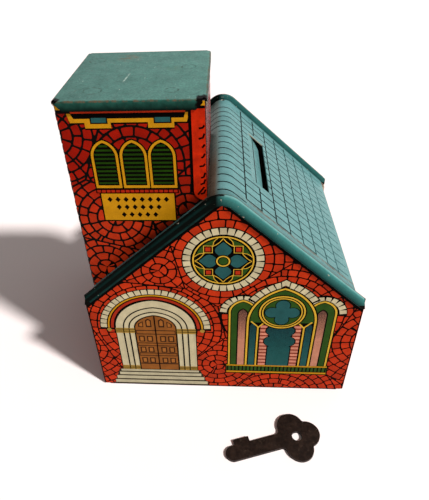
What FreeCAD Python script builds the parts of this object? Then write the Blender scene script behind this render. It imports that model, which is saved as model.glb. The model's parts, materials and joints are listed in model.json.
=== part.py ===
import FreeCAD, Part
import math
import os
import Sketcher

# A tinplate coin bank in the shape of a church, with its key lying in front of it.
# Millimetres. +X is the right of the front gable, +Y the back, +Z up. The origin lies on the
# table, in the middle of the ground that the bank and its key cover.

SIZES = {
    # tinplate
    "sheet_gauge": 0.3,
    "fold_gap": 0.05,
    # house
    "gable_width": 82.5,
    "body_depth": 69.0,
    "seam_width": 1.8,
    "seam_leg": 1.3,
    "eave_height": 42.2,
    "roof_angle": 42.3,
    "ridge_radius": 4.5,
    "eave_radius": 1.2,
    "hem_height": 2.5,
    "corner_notch": 0.6,
    # raised rim along the gables
    "rim_rise": 1.75,
    "rim_drop": 3.05,
    "rim_crest": 1.1,
    "rim_bulge": 0.55,
    "crest_round": 0.95,
    "leg_round": 0.7,
    "rim_foot": 2.0,
    "rim_overhang": 0.95,
    "rim_ear": 0.7,
    "ridge_relief": 1.3,
    # coin slot
    "slot_length": 31.8,
    "slot_width": 7.2,
    "slot_from_ridge": 11.6,
    "slot_shift": 2.8,
    "flap_angle": 16.0,
    "flap_corner": 2.0,
    "flap_clearance": 0.1,
    # tower
    "overall_height": 100.5,
    "tower_width": 35.6,
    "tower_depth": 38.1,
    "tower_setback": 5.4,
    "tower_corner": 0.6,
    "lap_width": 3.4,
    "lap_length": 24.4,
    "lap_corner": 2.7,
    "tab_width": 5.0,
    "tab_foot": 3.0,
    "tab_clearance": 0.15,
    # tower cap
    "cap_lip": 2.5,
    "cap_bend": 0.6,
    "cap_corner": 1.0,
    "cap_chamfer": 1.6,
    # base
    "base_recess": 4.0,
    "base_corner": 1.0,
    "hole_width": 40.0,
    "hole_depth": 32.0,
    "hole_corner": 2.0,
    # coin door and hinge
    "door_lap": 1.5,
    "door_front_lap": 2.5,
    "door_gap": 0.1,
    "pin_diameter": 1.2,
    "pin_clearance": 0.05,
    "hinge_length": 24.0,
    "knuckle_length": 11.6,
    "knuckle_gap": 0.2,
    # lock
    "keyhole_x": 6.0,
    "keyhole_y": -6.0,
    "key_clearance": 0.3,
    "case_width": 18.0,
    "case_depth": 21.0,
    "case_height": 5.5,
    "case_front_gap": 1.2,
    "case_corner": 1.0,
    "ear_length": 4.0,
    "ear_width": 7.0,
    "rivet_diameter": 2.0,
    "rivet_head": 3.6,
    "rivet_dome": 0.8,
    "rivet_clearance": 0.05,
    "bolt_thickness": 1.2,
    "bolt_width": 7.0,
    "bolt_lift": 0.6,
    "bolt_throw": 3.0,
    "bolt_clearance": 0.06,
    "bolt_tail": 0.6,
    "talon_width": 4.0,
    "talon_depth": 1.6,
    "spring_gauge": 0.25,
    "spring_span": 12.0,
    "spring_gap": 0.15,
    # key
    "key_gauge": 1.0,
    "key_length": 30.55,
    "shank_width": 4.7,
    "bit_start": 3.55,
    "bit_length": 4.9,
    "bit_height": 1.75,
    "bow_lobe": 4.15,
    "bow_spread": 3.8,
    "bow_step": 3.8,
    "bow_hole": 3.1,
    "bow_hole_step": 0.6,
    "key_neck_round": 1.4,
    "key_notch_round": 0.9,
    "key_angle": 17.6,
    "key_tip_x": 3.8,
    "key_reach": 25.8,
}

doc = FreeCAD.newDocument("church_bank")
sheet = doc.addObject("Spreadsheet::Sheet", "sizes")
for row, (alias, number) in enumerate(SIZES.items(), start=1):
    sheet.set(f"A{row}", alias.replace("_", " "))
    sheet.set(f"B{row}", str(number))
    sheet.setAlias(f"B{row}", alias)
doc.recompute()


class Linked:
    """A number and the expression that ties it to the sheet."""

    def __init__(self, value, text):
        self.value = value
        self.text = text

    def __add__(self, other):
        other = linked(other)
        return Linked(self.value + other.value, f"({self.text} + {other.text})")

    def __sub__(self, other):
        other = linked(other)
        return Linked(self.value - other.value, f"({self.text} - {other.text})")

    def __mul__(self, other):
        other = linked(other)
        return Linked(self.value * other.value, f"({self.text} * {other.text})")

    def __truediv__(self, other):
        other = linked(other)
        return Linked(self.value / other.value, f"({self.text} / {other.text})")

    def __neg__(self):
        return Linked(-self.value, f"(-1 * {self.text})")

    __radd__ = __add__
    __rmul__ = __mul__


def linked(number):
    return number if isinstance(number, Linked) else Linked(float(number), repr(float(number)))


def size(alias):
    return Linked(float(sheet.get(alias)), f"{sheet.Name}.{alias}")


def sine(angle):
    return Linked(math.sin(math.radians(angle.value)), f"sin({angle.text})")


def cosine(angle):
    return Linked(math.cos(math.radians(angle.value)), f"cos({angle.text})")


def tangent(angle):
    return Linked(math.tan(math.radians(angle.value)), f"tan({angle.text})")


def root(number):
    return Linked(math.sqrt(number.value), f"sqrt({number.text})")


NOUGHT = Linked(0.0, "0")


def new_body(name):
    body = doc.addObject("PartDesign::Body", name)
    body.Label = name
    return body


def origin_part(body, role):
    return next(item for item in body.Origin.OriginFeatures if item.Role == role)


def new_sketch(body, name, plane, level=NOUGHT):
    drawing = body.newObject("Sketcher::SketchObject", name)
    drawing.AttachmentSupport = (origin_part(body, plane + "_Plane"), [""])
    drawing.MapMode = "FlatFace"
    drawing.setExpression("AttachmentOffset.Base.z", level.text)
    return drawing


def bind(drawing, constraint, amount):
    number = drawing.addConstraint(constraint)
    drawing.setExpression(f"Constraints[{number}]", amount.text)


def hold_point(drawing, item, end, x, y):
    """Ties one point of a drawing to its distances from the drawing's axes."""
    if x.text == "0":
        drawing.addConstraint(Sketcher.Constraint("PointOnObject", item, end, -2))
    else:
        bind(drawing, Sketcher.Constraint("DistanceX", -1, 1, item, end, x.value), x)
    if y.text == "0":
        drawing.addConstraint(Sketcher.Constraint("PointOnObject", item, end, -1))
    else:
        bind(drawing, Sketcher.Constraint("DistanceY", -1, 1, item, end, y.value), y)


def outline(drawing, corners):
    """Draws a closed outline. A corner is (x, y), or (x, y, radius) where the side that starts
    there is an arc: counterclockwise for turn 1 and clockwise for turn -1 in (x, y, radius, turn)."""
    corners = [tuple(map(linked, corner[:3])) + corner[3:] for corner in corners]
    first = drawing.GeometryCount
    ends = []
    for place, corner in enumerate(corners):
        following = corners[(place + 1) % len(corners)]
        begin = FreeCAD.Vector(corner[0].value, corner[1].value, 0)
        finish = FreeCAD.Vector(following[0].value, following[1].value, 0)
        if len(corner) == 2:
            drawing.addGeometry(Part.LineSegment(begin, finish))
            ends.append((1, 2))
            continue
        radius, turn = corner[2], corner[3]
        chord = finish - begin
        aside = FreeCAD.Vector(-chord.y, chord.x, 0).normalize()
        height = math.sqrt(max(radius.value**2 - (chord.Length / 2) ** 2, 0.0))
        centre = (begin + finish) * 0.5 + aside * (height * turn)
        low, high = (begin, finish) if turn > 0 else (finish, begin)
        angles = [math.atan2(point.y - centre.y, point.x - centre.x) for point in (low, high)]
        circle = Part.Circle(centre, FreeCAD.Vector(0, 0, 1), radius.value)
        item = drawing.addGeometry(Part.ArcOfCircle(circle, *angles))
        bind(drawing, Sketcher.Constraint("Radius", item, radius.value), radius)
        ends.append((1, 2) if turn > 0 else (2, 1))
    for place, corner in enumerate(corners):
        before = (place - 1) % len(corners)
        drawing.addConstraint(
            Sketcher.Constraint("Coincident", first + before, ends[before][1], first + place, ends[place][0])
        )
        hold_point(drawing, first + place, ends[place][0], corner[0], corner[1])


def rectangle(drawing, x0, y0, x1, y1):
    outline(drawing, [(x0, y0), (x1, y0), (x1, y1), (x0, y1)])


def rounded_rectangle(drawing, x0, y0, x1, y1, radius):
    corners = [
        (x0 + radius, y0),
        (x1 - radius, y0, radius, 1),
        (x1, y0 + radius),
        (x1, y1 - radius, radius, 1),
        (x1 - radius, y1),
        (x0 + radius, y1, radius, 1),
        (x0, y1 - radius),
        (x0, y0 + radius, radius, 1),
    ]
    outline(drawing, corners)


def circle(drawing, x, y, radius):
    centre = FreeCAD.Vector(x.value, y.value, 0)
    item = drawing.addGeometry(Part.Circle(centre, FreeCAD.Vector(0, 0, 1), radius.value))
    bind(drawing, Sketcher.Constraint("Radius", item, radius.value), radius)
    hold_point(drawing, item, 3, x, y)


def slab(kind, body, name, plane, low, high):
    """A pad or pocket from low to high along the plane's own axis, with its empty sketch."""
    low, high = linked(low), linked(high)
    level = -high if plane == "XZ" else low
    drawing = new_sketch(body, name + "_sketch", plane, level)
    feature = body.newObject("PartDesign::" + kind, name)
    feature.Profile = drawing
    feature.setExpression("Length", (high - low).text)
    feature.Reversed = kind == "Pocket"
    return drawing


def pad(body, name, plane, low, high):
    return slab("Pad", body, name, plane, low, high)


def pocket(body, name, plane, low, high):
    return slab("Pocket", body, name, plane, low, high)


def round_edges(body, name, radius, wanted, kind="Fillet"):
    """Rounds (or bevels) the edges of the body so far whose middle point passes the test."""
    doc.recompute()
    base = body.Tip
    names = []
    for number, edge in enumerate(base.Shape.Edges, start=1):
        middle = edge.valueAt((edge.FirstParameter + edge.LastParameter) / 2)
        if wanted(edge, middle):
            names.append(f"Edge{number}")
    if not names:
        raise ValueError(f"{name}: no edge found")
    feature = body.newObject("PartDesign::" + kind, name)
    feature.Base = (base, names)
    feature.setExpression("Radius" if kind == "Fillet" else "Size", radius.text)


def near(a, b):
    return abs(a - b) < 1e-4


def along(edge, axis):
    """True where a straight edge runs along the axis."""
    if not isinstance(edge.Curve, Part.Line):
        return False
    direction = edge.Curve.Direction
    return near(abs(getattr(direction, axis)), 1.0)


# Shared values of the house

gauge = size("sheet_gauge")
gap = size("fold_gap")
fold_round = gauge * 0.9
half_width = size("gable_width") / 2
half_depth = size("body_depth") / 2
side = half_width - size("seam_width")
eave = size("eave_height")
pitch = size("roof_angle")
sin_pitch, cos_pitch, tan_pitch = sine(pitch), cosine(pitch), tangent(pitch)
peak = eave + side * tan_pitch
hem_inner = half_depth - gauge * 3 - gap * 2
sheet_end = half_depth - gauge - gap
upstand_back = sheet_end - gauge
rim_front = half_depth + gap + gauge + size("rim_bulge")
rim_rise, rim_drop, rim_crest = size("rim_rise"), size("rim_drop"), size("rim_crest")
foot_height = eave - size("rim_foot")
rim_reach = side + size("rim_overhang")
ear_reach = rim_reach + size("rim_ear")
notch = size("corner_notch")
seam_top = foot_height - gauge * 2
house_shift = size("key_reach") / 2


def roof_height(x, above=NOUGHT):
    """Height of the roof's outer face at x from the middle, lifted square to the slope."""
    return eave + (side - x) * tan_pitch + above / cos_pitch


def roof_line(above, reach):
    """Points from the right end to the left end of a line that runs over the ridge."""
    radius = size("ridge_radius") + above
    bend = radius * sin_pitch
    return [
        (reach, roof_height(reach, above)),
        (bend, roof_height(bend, above), radius, 1),
        (-bend, roof_height(bend, above)),
        (-reach, roof_height(reach, above)),
    ]


def roof_line_back(above, reach):
    """The same line from left to right."""
    right, right_bend, left_bend, left = roof_line(above, reach)
    return [left, (left_bend[0], left_bend[1], right_bend[2], -1), right_bend[:2], right]


def on_slope(down, above):
    """A point on the right slope: its distance down from the peak and above the outer face."""
    return (down * cos_pitch + above * sin_pitch, peak - down * sin_pitch + above * cos_pitch)


def place_in_house(body):
    body.setExpression("Placement.Base.y", house_shift.text)


def make_roof_and_sides():
    body = new_body("roof_and_sides")
    bend = size("eave_radius")
    reach = bend * tangent((linked(90) - pitch) / 2)
    slope_x, slope_z = side - reach * cos_pitch, eave + reach * sin_pitch
    inner_x, inner_z = slope_x - gauge * sin_pitch, slope_z - gauge * cos_pitch
    wall_top = eave - reach
    outer = roof_line(NOUGHT, slope_x)
    inner = roof_line_back(-gauge, inner_x)
    corners = [
        (side, NOUGHT),
        (side, wall_top, bend, 1),
        (slope_x, slope_z),
        *outer[1:3],
        (-slope_x, slope_z, bend, 1),
        (-side, wall_top),
        (-side, NOUGHT),
        (gauge - side, NOUGHT),
        (gauge - side, wall_top, bend - gauge, -1),
        (-inner_x, inner_z),
        *inner[1:3],
        (inner_x, inner_z, bend - gauge, -1),
        (side - gauge, wall_top),
        (side - gauge, NOUGHT),
    ]
    outline(pad(body, "bent_sheet", "XZ", -sheet_end, sheet_end), corners)

    # Folded hems at the foot of the side walls, which hold the rim of the base.
    hem_in = side - gauge * 3 - gap * 2
    hem_end = hem_inner - gap * 2
    for label, hand in (("right", 1), ("left", -1)):
        drawing = pad(body, label + "_hem_fold", "XY", NOUGHT, gauge)
        rectangle(drawing, hem_in * hand, -hem_end, (side - gauge) * hand, hem_end)
        drawing = pad(body, label + "_hem_leg", "XY", NOUGHT, size("hem_height"))
        rectangle(drawing, hem_in * hand, -hem_end, (hem_in + gauge) * hand, hem_end)

    # Each end stands up behind the gable, folds over its edge and comes down in front of it.
    # Below the eaves a flange turns outward into the gable's corner seam.
    for label, hand in (("front", -1), ("back", 1)):
        inside, outside = upstand_back * hand, sheet_end * hand
        low, high = (inside, outside) if hand > 0 else (outside, inside)
        drawing = pad(body, label + "_upstand", "XZ", low, high)
        outline(drawing, roof_line(rim_rise, ear_reach) + roof_line_back(-gauge / 2, ear_reach))
        for wall, across in (("right", 1), ("left", -1)):
            drawing = pad(body, f"{label}_{wall}_flange", "XZ", low, high)
            flange_end = half_width - gauge - gap
            rectangle(drawing, (side - gauge) * across, notch, flange_end * across, seam_top - gap)
        low, high = (inside, rim_front * hand) if hand > 0 else (rim_front * hand, inside)
        drawing = pad(body, label + "_crest", "XZ", low, high)
        splay = size("rim_ear") / (roof_height(rim_reach, rim_rise) - foot_height)
        crest_reach = rim_reach + splay * rim_crest / cos_pitch / (linked(1) - splay * tan_pitch)
        outline(drawing, roof_line(rim_rise, rim_reach) + roof_line_back(rim_rise - rim_crest, crest_reach))
        leg_inside = (half_depth + gap) * hand
        low, high = (leg_inside, rim_front * hand) if hand > 0 else (rim_front * hand, leg_inside)
        drawing = pad(body, label + "_rim_leg", "XZ", low, high)
        lower = rim_rise - rim_drop
        foot_x = side - (foot_height - eave - lower / cos_pitch) / tan_pitch
        feet = [(-ear_reach, foot_height)]
        corners = roof_line(rim_rise, rim_reach) + feet + roof_line_back(lower, foot_x)
        outline(drawing, corners + [(ear_reach, foot_height)])

    def follows_roof(level, above):
        """A test for the edges at one depth that run over the roof at one height above it."""

        def test(edge, middle):
            if not near(abs(middle.y), level.value) or abs(middle.x) > rim_reach.value:
                return False
            radius = size("ridge_radius").value + above.value
            if abs(middle.x) < radius * sin_pitch.value:
                centre = roof_height(NOUGHT).value - size("ridge_radius").value / cos_pitch.value
                return near(math.hypot(middle.x, middle.z - centre), radius)
            return near(middle.z, roof_height(linked(abs(middle.x)), above).value)

        return test

    round_edges(body, "rolled_crests", size("crest_round"), follows_roof(rim_front, rim_rise))
    round_edges(body, "rolled_legs", size("leg_round"), follows_roof(rim_front, rim_rise - rim_drop))
    round_edges(body, "crest_backs", fold_round, follows_roof(upstand_back, rim_rise))

    # Relief holes at both ends of the ridge, where the sheet turns up on a curve.
    relief = size("ridge_relief") / 2
    drawing = pocket(body, "ridge_reliefs", "XY", foot_height, peak + rim_rise)
    for hand in (1, -1):
        circle(drawing, NOUGHT, (upstand_back - relief) * hand, relief)

    # Coin slot, with its flap left on along the upper edge and bent inward.
    slot_top, slot_bottom = size("slot_from_ridge"), size("slot_from_ridge") + size("slot_width")
    slot_front = size("slot_shift") - size("slot_length") / 2
    slot_back = size("slot_shift") + size("slot_length") / 2
    drawing = pocket(body, "coin_slot", "XZ", slot_front, slot_back)
    through = gauge * 2
    edges = ((slot_top, through), (slot_bottom, through), (slot_bottom, -through), (slot_top, -through))
    outline(drawing, [on_slope(*edge) for edge in edges])
    lean = size("flap_angle")
    flap = size("slot_width") - size("flap_clearance")
    flap_down, flap_in = flap * cosine(lean), flap * sine(lean)
    root_line = slot_top - gauge
    flap_points = (
        (root_line, NOUGHT),
        (slot_top, NOUGHT),
        (slot_top + flap_down, -flap_in),
        (slot_top + flap_down - gauge * sine(lean), -flap_in - gauge * cosine(lean)),
        (slot_top - gauge * tangent(lean / 2), -gauge),
        (root_line, -gauge),
    )
    free = size("flap_clearance")
    drawing = pad(body, "coin_flap", "XZ", slot_front + free, slot_back - free)
    outline(drawing, [on_slope(*point) for point in flap_points])
    tip = on_slope(slot_top + flap_down, -flap_in)

    def at_flap_tip(edge, middle):
        reach = math.hypot(middle.x - tip[0].value, middle.z - tip[1].value)
        return near(edge.Length, gauge.value) and reach < gauge.value and not along(edge, "y")

    round_edges(body, "flap_corners", size("flap_corner"), at_flap_tip)

    # Slots for the tabs of the tower.
    drawing = pocket(body, "tower_tab_slots", "XY", foot_height, size("overall_height"))
    for x0, y0, x1, y1 in tab_places():
        room = size("tab_clearance")
        rectangle(drawing, x0 - room, y0 - room, x1 + room, y1 + room)
    place_in_house(body)
    return body


# Shared values of the tower

tower_left = -side
tower_right = size("tower_width") - side
tower_front = size("tower_setback") - half_depth
tower_back = tower_front + size("tower_depth")
cap_top = size("overall_height")
tower_top = cap_top - size("cap_bend")


def tab_places():
    """Where the tabs of the tower pass through the roof: front, back and right wall."""
    half_tab = size("tab_width") / 2
    middle_x = (tower_left + tower_right) / 2
    middle_y = (tower_front + tower_back) / 2
    return (
        (middle_x - half_tab, tower_front, middle_x + half_tab, tower_front + gauge),
        (middle_x - half_tab, tower_back - gauge, middle_x + half_tab, tower_back),
        (tower_right - gauge, middle_y - half_tab, tower_right, middle_y + half_tab),
    )


def left_slope_band(x0, x1, top, bottom):
    """A strip along the left slope between two distances below the roof's outer face."""
    return [
        (x0, roof_height(-x0, -top)),
        (x1, roof_height(-x1, -top)),
        (x1, roof_height(-x1, -bottom)),
        (x0, roof_height(-x0, -bottom)),
    ]


def make_tower_wall():
    body = new_body("tower_wall")
    corner = size("tower_corner")
    drawing = pad(body, "square_tube", "XY", foot_height, tower_top)
    rounded_rectangle(drawing, tower_left, tower_front, tower_right, tower_back, corner)
    inner = (tower_left + gauge, tower_front + gauge, tower_right - gauge, tower_back - gauge)
    rounded_rectangle(drawing, *inner, corner - gauge)

    # The lap of the sheet turns round the right corner and lies on the front.
    lap_left, lap_bottom = tower_right - size("lap_width"), cap_top - size("cap_lip") - size("lap_length")
    lap_top, round_lap = cap_top - size("cap_lip") / 2, size("lap_corner")
    drawing = pad(body, "front_lap", "XZ", tower_front - gauge, tower_front)
    lap_edge = tower_right - gauge / 2
    outline(
        drawing,
        [
            (lap_left + round_lap, lap_bottom),
            (lap_edge, lap_bottom),
            (lap_edge, lap_top),
            (lap_left, lap_top),
            (lap_left, lap_bottom + round_lap, round_lap, 1),
        ],
    )

    drawing = pocket(body, "roof_cut", "XZ", tower_front - gauge * 2, tower_back + gauge)
    low_x, high_x = tower_left - gauge, tower_right + gauge
    outline(drawing, left_slope_band(low_x, high_x, NOUGHT, size("tower_depth")))

    # Tabs that go through the roof and are bent flat against its underside.
    foot_top = gauge + gap
    foot_bottom = foot_top + gauge
    front_tab, back_tab, right_tab = tab_places()
    for label, tab, inward in (("front", front_tab, 1), ("back", back_tab, -1)):
        drawing = pad(body, label + "_tab", "XZ", tab[1], tab[3])
        outline(drawing, left_slope_band(tab[0], tab[2], NOUGHT, foot_bottom))
        low, high = (tab[3], tab[3] + size("tab_foot")) if inward > 0 else (tab[1] - size("tab_foot"), tab[1])
        drawing = pad(body, label + "_tab_foot", "XZ", low, high)
        outline(drawing, left_slope_band(tab[0], tab[2], foot_top, foot_bottom))
    drawing = pad(body, "right_tab", "XZ", right_tab[1], right_tab[3])
    outline(drawing, left_slope_band(right_tab[0], right_tab[2], NOUGHT, foot_bottom))
    drawing = pad(body, "right_tab_foot", "XZ", right_tab[1], right_tab[3])
    foot_end = right_tab[0] - size("tab_foot")
    outline(drawing, left_slope_band(foot_end, right_tab[0], foot_top, foot_bottom))
    place_in_house(body)
    return body


def lid_channel(near_edge, far_edge, bend):
    """Section of a plate with both edges turned down, seen from its end."""
    lip_end = cap_top - size("cap_lip")
    under = cap_top - gauge
    tight = bend - gauge
    return [
        (near_edge, lip_end),
        (near_edge + gauge, lip_end),
        (near_edge + gauge, cap_top - bend, tight, -1),
        (near_edge + bend, under),
        (far_edge - bend, under, tight, -1),
        (far_edge - gauge, cap_top - bend),
        (far_edge - gauge, lip_end),
        (far_edge, lip_end),
        (far_edge, cap_top - bend, bend, 1),
        (far_edge - bend, cap_top),
        (near_edge + bend, cap_top, bend, 1),
        (near_edge, cap_top - bend),
    ]


def make_tower_cap():
    body = new_body("tower_cap")
    spare = gauge * 2 + gap
    left, right = tower_left - gauge - gap, tower_right + gauge + gap
    front, back = tower_front - spare - gap, tower_back + gauge + gap
    cut, bend = size("cap_corner"), size("cap_bend")
    outline(pad(body, "front_to_back", "YZ", left + cut, right - cut), lid_channel(front, back, bend))
    outline(pad(body, "side_to_side", "XZ", front + cut, back - cut), lid_channel(left, right, bend))
    lip_end = cap_top - size("cap_lip")

    def at_lip_corner(edge, middle):
        return near(middle.z, lip_end.value) and near(edge.Length, gauge.value)

    round_edges(body, "bevelled_lips", size("cap_chamfer"), at_lip_corner, "Chamfer")
    place_in_house(body)
    return body


def make_gable(name, turned):
    body = new_body(name)
    under_crest = rim_rise - rim_crest - gap
    top_reach = rim_reach - gap
    hem_end = side - gauge - gap
    drawing = pad(body, "panel", "XZ", -half_depth, gauge - half_depth)
    corners = [
        (half_width, notch),
        (half_width, seam_top),
        *roof_line(under_crest, top_reach),
        (-half_width, seam_top),
        (-half_width, notch),
        (-hem_end, notch),
        (-hem_end, NOUGHT),
        (hem_end, NOUGHT),
        (hem_end, notch),
    ]
    outline(drawing, corners)

    # Hem folded in and up round the rim of the base.
    drawing = pad(body, "hem_fold", "XY", NOUGHT, gauge)
    rectangle(drawing, -hem_end, gauge - half_depth, hem_end, -hem_inner)
    leg_end = hem_end - size("base_corner")
    drawing = pad(body, "hem_leg", "XY", NOUGHT, size("hem_height"))
    rectangle(drawing, -leg_end, -hem_inner - gauge, leg_end, -hem_inner)

    # Corner seams, folded back round the flanges of the side walls.
    for label, hand in (("right", 1), ("left", -1)):
        drawing = pad(body, label + "_seam_fold", "XY", notch, seam_top)
        rectangle(drawing, (half_width - gauge) * hand, gauge - half_depth, half_width * hand, -hem_inner)
        drawing = pad(body, label + "_seam_leg", "XY", notch, seam_top)
        seam_leg = half_width - size("seam_leg")
        rectangle(drawing, seam_leg * hand, -hem_inner - gauge, (half_width - gauge) * hand, -hem_inner)

    def on_fold(edge, middle):
        if along(edge, "z") and near(abs(middle.x), half_width.value):
            return near(middle.y, -half_depth.value) or near(middle.y, -hem_inner.value)
        return along(edge, "x") and near(middle.z, 0) and edge.Length > half_width.value

    round_edges(body, "folded_edges", fold_round, on_fold)
    place_in_house(body)
    if turned:
        body.Placement.Rotation = FreeCAD.Rotation(FreeCAD.Vector(0, 0, 1), 180)
    return body


# Shared values of the base, the door and the lock

floor_under = size("base_recess")
floor_top = floor_under + gauge
base_x = side - gauge - gap
base_y = sheet_end
hole_x, hole_y = size("hole_width") / 2, size("hole_depth") / 2
door_top = floor_under - size("door_gap")
door_under = door_top - gauge
pin_radius = size("pin_diameter") / 2
knuckle_bore = pin_radius + size("pin_clearance")
knuckle_radius = knuckle_bore + gauge
pin_y = hole_y + knuckle_radius + gap
pin_z = door_top - knuckle_radius
half_knuckle = size("knuckle_length") / 2
half_hinge = size("hinge_length") / 2
door_back = hole_y - size("knuckle_gap")


def ring(drawing):
    circle(drawing, pin_y, pin_z, knuckle_radius)
    circle(drawing, pin_y, pin_z, knuckle_bore)


def make_base_plate():
    body = new_body("base_plate")
    corner = size("base_corner")
    rim_bottom = gauge + gap
    drawing = pad(body, "pressing", "XY", rim_bottom, floor_top)
    rounded_rectangle(drawing, -base_x, -base_y, base_x, base_y, corner)
    drawing = pocket(body, "recess", "XY", rim_bottom, floor_under)
    inner_x, inner_y = base_x - gauge, base_y - gauge
    rounded_rectangle(drawing, -inner_x, -inner_y, inner_x, inner_y, corner - gauge)
    drawing = pocket(body, "coin_hole", "XY", floor_under, floor_top)
    rounded_rectangle(drawing, -hole_x, -hole_y, hole_x, hole_y, size("hole_corner"))

    # Two strips turned down from the back edge of the hole and rolled round the pin.
    strip_front = pin_y - knuckle_radius
    for label, hand in (("right", 1), ("left", -1)):
        near_end, far_end = half_knuckle + size("knuckle_gap"), half_hinge
        low, high = (near_end, far_end) if hand > 0 else (-far_end, -near_end)
        ring(pad(body, label + "_knuckle", "YZ", low, high))
        drawing = pad(body, label + "_strip", "YZ", low, high)
        rectangle(drawing, strip_front, pin_z, strip_front + gauge, floor_top)
    place_in_house(body)
    return body


def make_hinge_pin():
    body = new_body("hinge_pin")
    overhang = gauge * 2
    drawing = pad(body, "wire", "YZ", -half_hinge - overhang, half_hinge + overhang)
    circle(drawing, pin_y, pin_z, pin_radius)
    place_in_house(body)
    return body


key_x, key_y = size("keyhole_x"), size("keyhole_y")
shank_radius = size("shank_width") / 2
key_room = size("key_clearance")
bit_reach = shank_radius + size("bit_height")
case_front = -hole_y + size("case_front_gap")
case_back = case_front + size("case_depth")
bolt_right = key_x - shank_radius - key_room * 2
bolt_left = bolt_right - size("bolt_width")
spring_room = size("bolt_thickness")
case_left = bolt_left - spring_room - size("spring_gap") - gauge * 2
case_right = case_left + size("case_width")
case_top = door_top + size("case_height")
ear_middle = (case_front + case_back) / 2
rivet_left = case_left - size("ear_length") / 2
rivet_right = case_right + size("ear_length") / 2
rivet_bore = size("rivet_diameter") / 2 + size("rivet_clearance")
bolt_low = door_top + size("bolt_lift")
bolt_high = bolt_low + size("bolt_thickness")
bolt_nose = -hole_y + size("case_front_gap") / 2


def keyhole(drawing):
    """Round hole for the shank with a slit for the bit."""
    radius = shank_radius + key_room
    half_slit = size("key_gauge") / 2 + key_room / 2
    meet = root(radius * radius - half_slit * half_slit)
    slit_end = bit_reach + key_room
    outline(
        drawing,
        [
            (key_x - half_slit, key_y + meet, radius, 1),
            (key_x - radius, key_y, radius, 1),
            (key_x, key_y - radius, radius, 1),
            (key_x + radius, key_y, radius, 1),
            (key_x + half_slit, key_y + meet),
            (key_x + half_slit, key_y + slit_end),
            (key_x - half_slit, key_y + slit_end),
        ],
    )


def make_coin_door():
    body = new_body("coin_door")
    edge_x, edge_front = hole_x + size("door_lap"), -hole_y - size("door_front_lap")
    drawing = pad(body, "plate", "XY", door_under, door_top)
    rounded_rectangle(drawing, -edge_x, edge_front, edge_x, door_back, size("hole_corner"))
    ring(pad(body, "knuckle", "YZ", -half_knuckle, half_knuckle))
    drawing = pad(body, "rolled_strip", "XY", door_under, door_top)
    rectangle(drawing, -half_knuckle, door_back - gauge, half_knuckle, pin_y)
    clear = pocket(body, "pin_bore", "YZ", -half_knuckle, half_knuckle)
    circle(clear, pin_y, pin_z, knuckle_bore)
    keyhole(pocket(body, "keyhole", "XY", door_under, door_top))
    drawing = pocket(body, "rivet_holes", "XY", door_under, door_top)
    for x in (rivet_left, rivet_right):
        circle(drawing, x, ear_middle, rivet_bore)
    place_in_house(body)
    return body


def make_lock_case():
    body = new_body("lock_case")
    corner = size("case_corner")
    drawing = pad(body, "pressing", "XY", door_top, case_top)
    rounded_rectangle(drawing, case_left, case_front, case_right, case_back, corner)
    drawing = pocket(body, "hollow", "XY", door_top, case_top - gauge)
    inner = (case_left + gauge, case_front + gauge, case_right - gauge, case_back - gauge)
    rounded_rectangle(drawing, *inner, corner - gauge)
    half_ear = size("ear_width") / 2
    for label, wall, end in (
        ("left", case_left, case_left - size("ear_length")),
        ("right", case_right, case_right + size("ear_length")),
    ):
        drawing = pad(body, label + "_ear", "XY", door_top, door_top + gauge)
        rectangle(drawing, wall, ear_middle - half_ear, end, ear_middle + half_ear)
    drawing = pocket(body, "rivet_holes", "XY", door_top, door_top + gauge)
    for x in (rivet_left, rivet_right):
        circle(drawing, x, ear_middle, rivet_bore)

    # Windows in both end walls, in which the bolt slides, and the hole for the key's tip.
    free = size("bolt_clearance")
    drawing = pocket(body, "bolt_windows", "XZ", case_front - gauge, case_back + gauge)
    rectangle(drawing, bolt_left - free, bolt_low - free, bolt_right + free, bolt_high + free)
    drawing = pocket(body, "key_tip_hole", "XY", case_top - gauge, case_top)
    circle(drawing, key_x, key_y, shank_radius + key_room)
    place_in_house(body)
    return body


def make_lock_rivets():
    body = new_body("lock_rivets")
    shank, head, dome = size("rivet_diameter") / 2, size("rivet_head") / 2, size("rivet_dome")
    seat_low, seat_high = door_under, door_top + gauge
    dome_radius = (head * head + dome * dome) / (dome * 2)
    drawing = new_sketch(body, "rivet_section", "XZ", -ear_middle)
    outline(
        drawing,
        [
            (rivet_left, seat_low - dome, dome_radius, 1),
            (rivet_left + head, seat_low),
            (rivet_left + shank, seat_low),
            (rivet_left + shank, seat_high),
            (rivet_left + head, seat_high, dome_radius, 1),
            (rivet_left, seat_high + dome),
        ],
    )
    turned = body.newObject("PartDesign::Revolution", "left_rivet")
    turned.Profile = drawing
    turned.ReferenceAxis = (drawing, [f"Edge{drawing.GeometryCount}"])
    turned.Angle = 360
    doc.recompute()
    row_of_two = body.newObject("PartDesign::LinearPattern", "both_rivets")
    row_of_two.Originals = [turned]
    row_of_two.Direction = (origin_part(body, "X_Axis"), [""])
    row_of_two.setExpression("Length", (rivet_right - rivet_left).text)
    row_of_two.Occurrences = 2
    body.Tip = row_of_two
    place_in_house(body)
    return body


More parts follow.
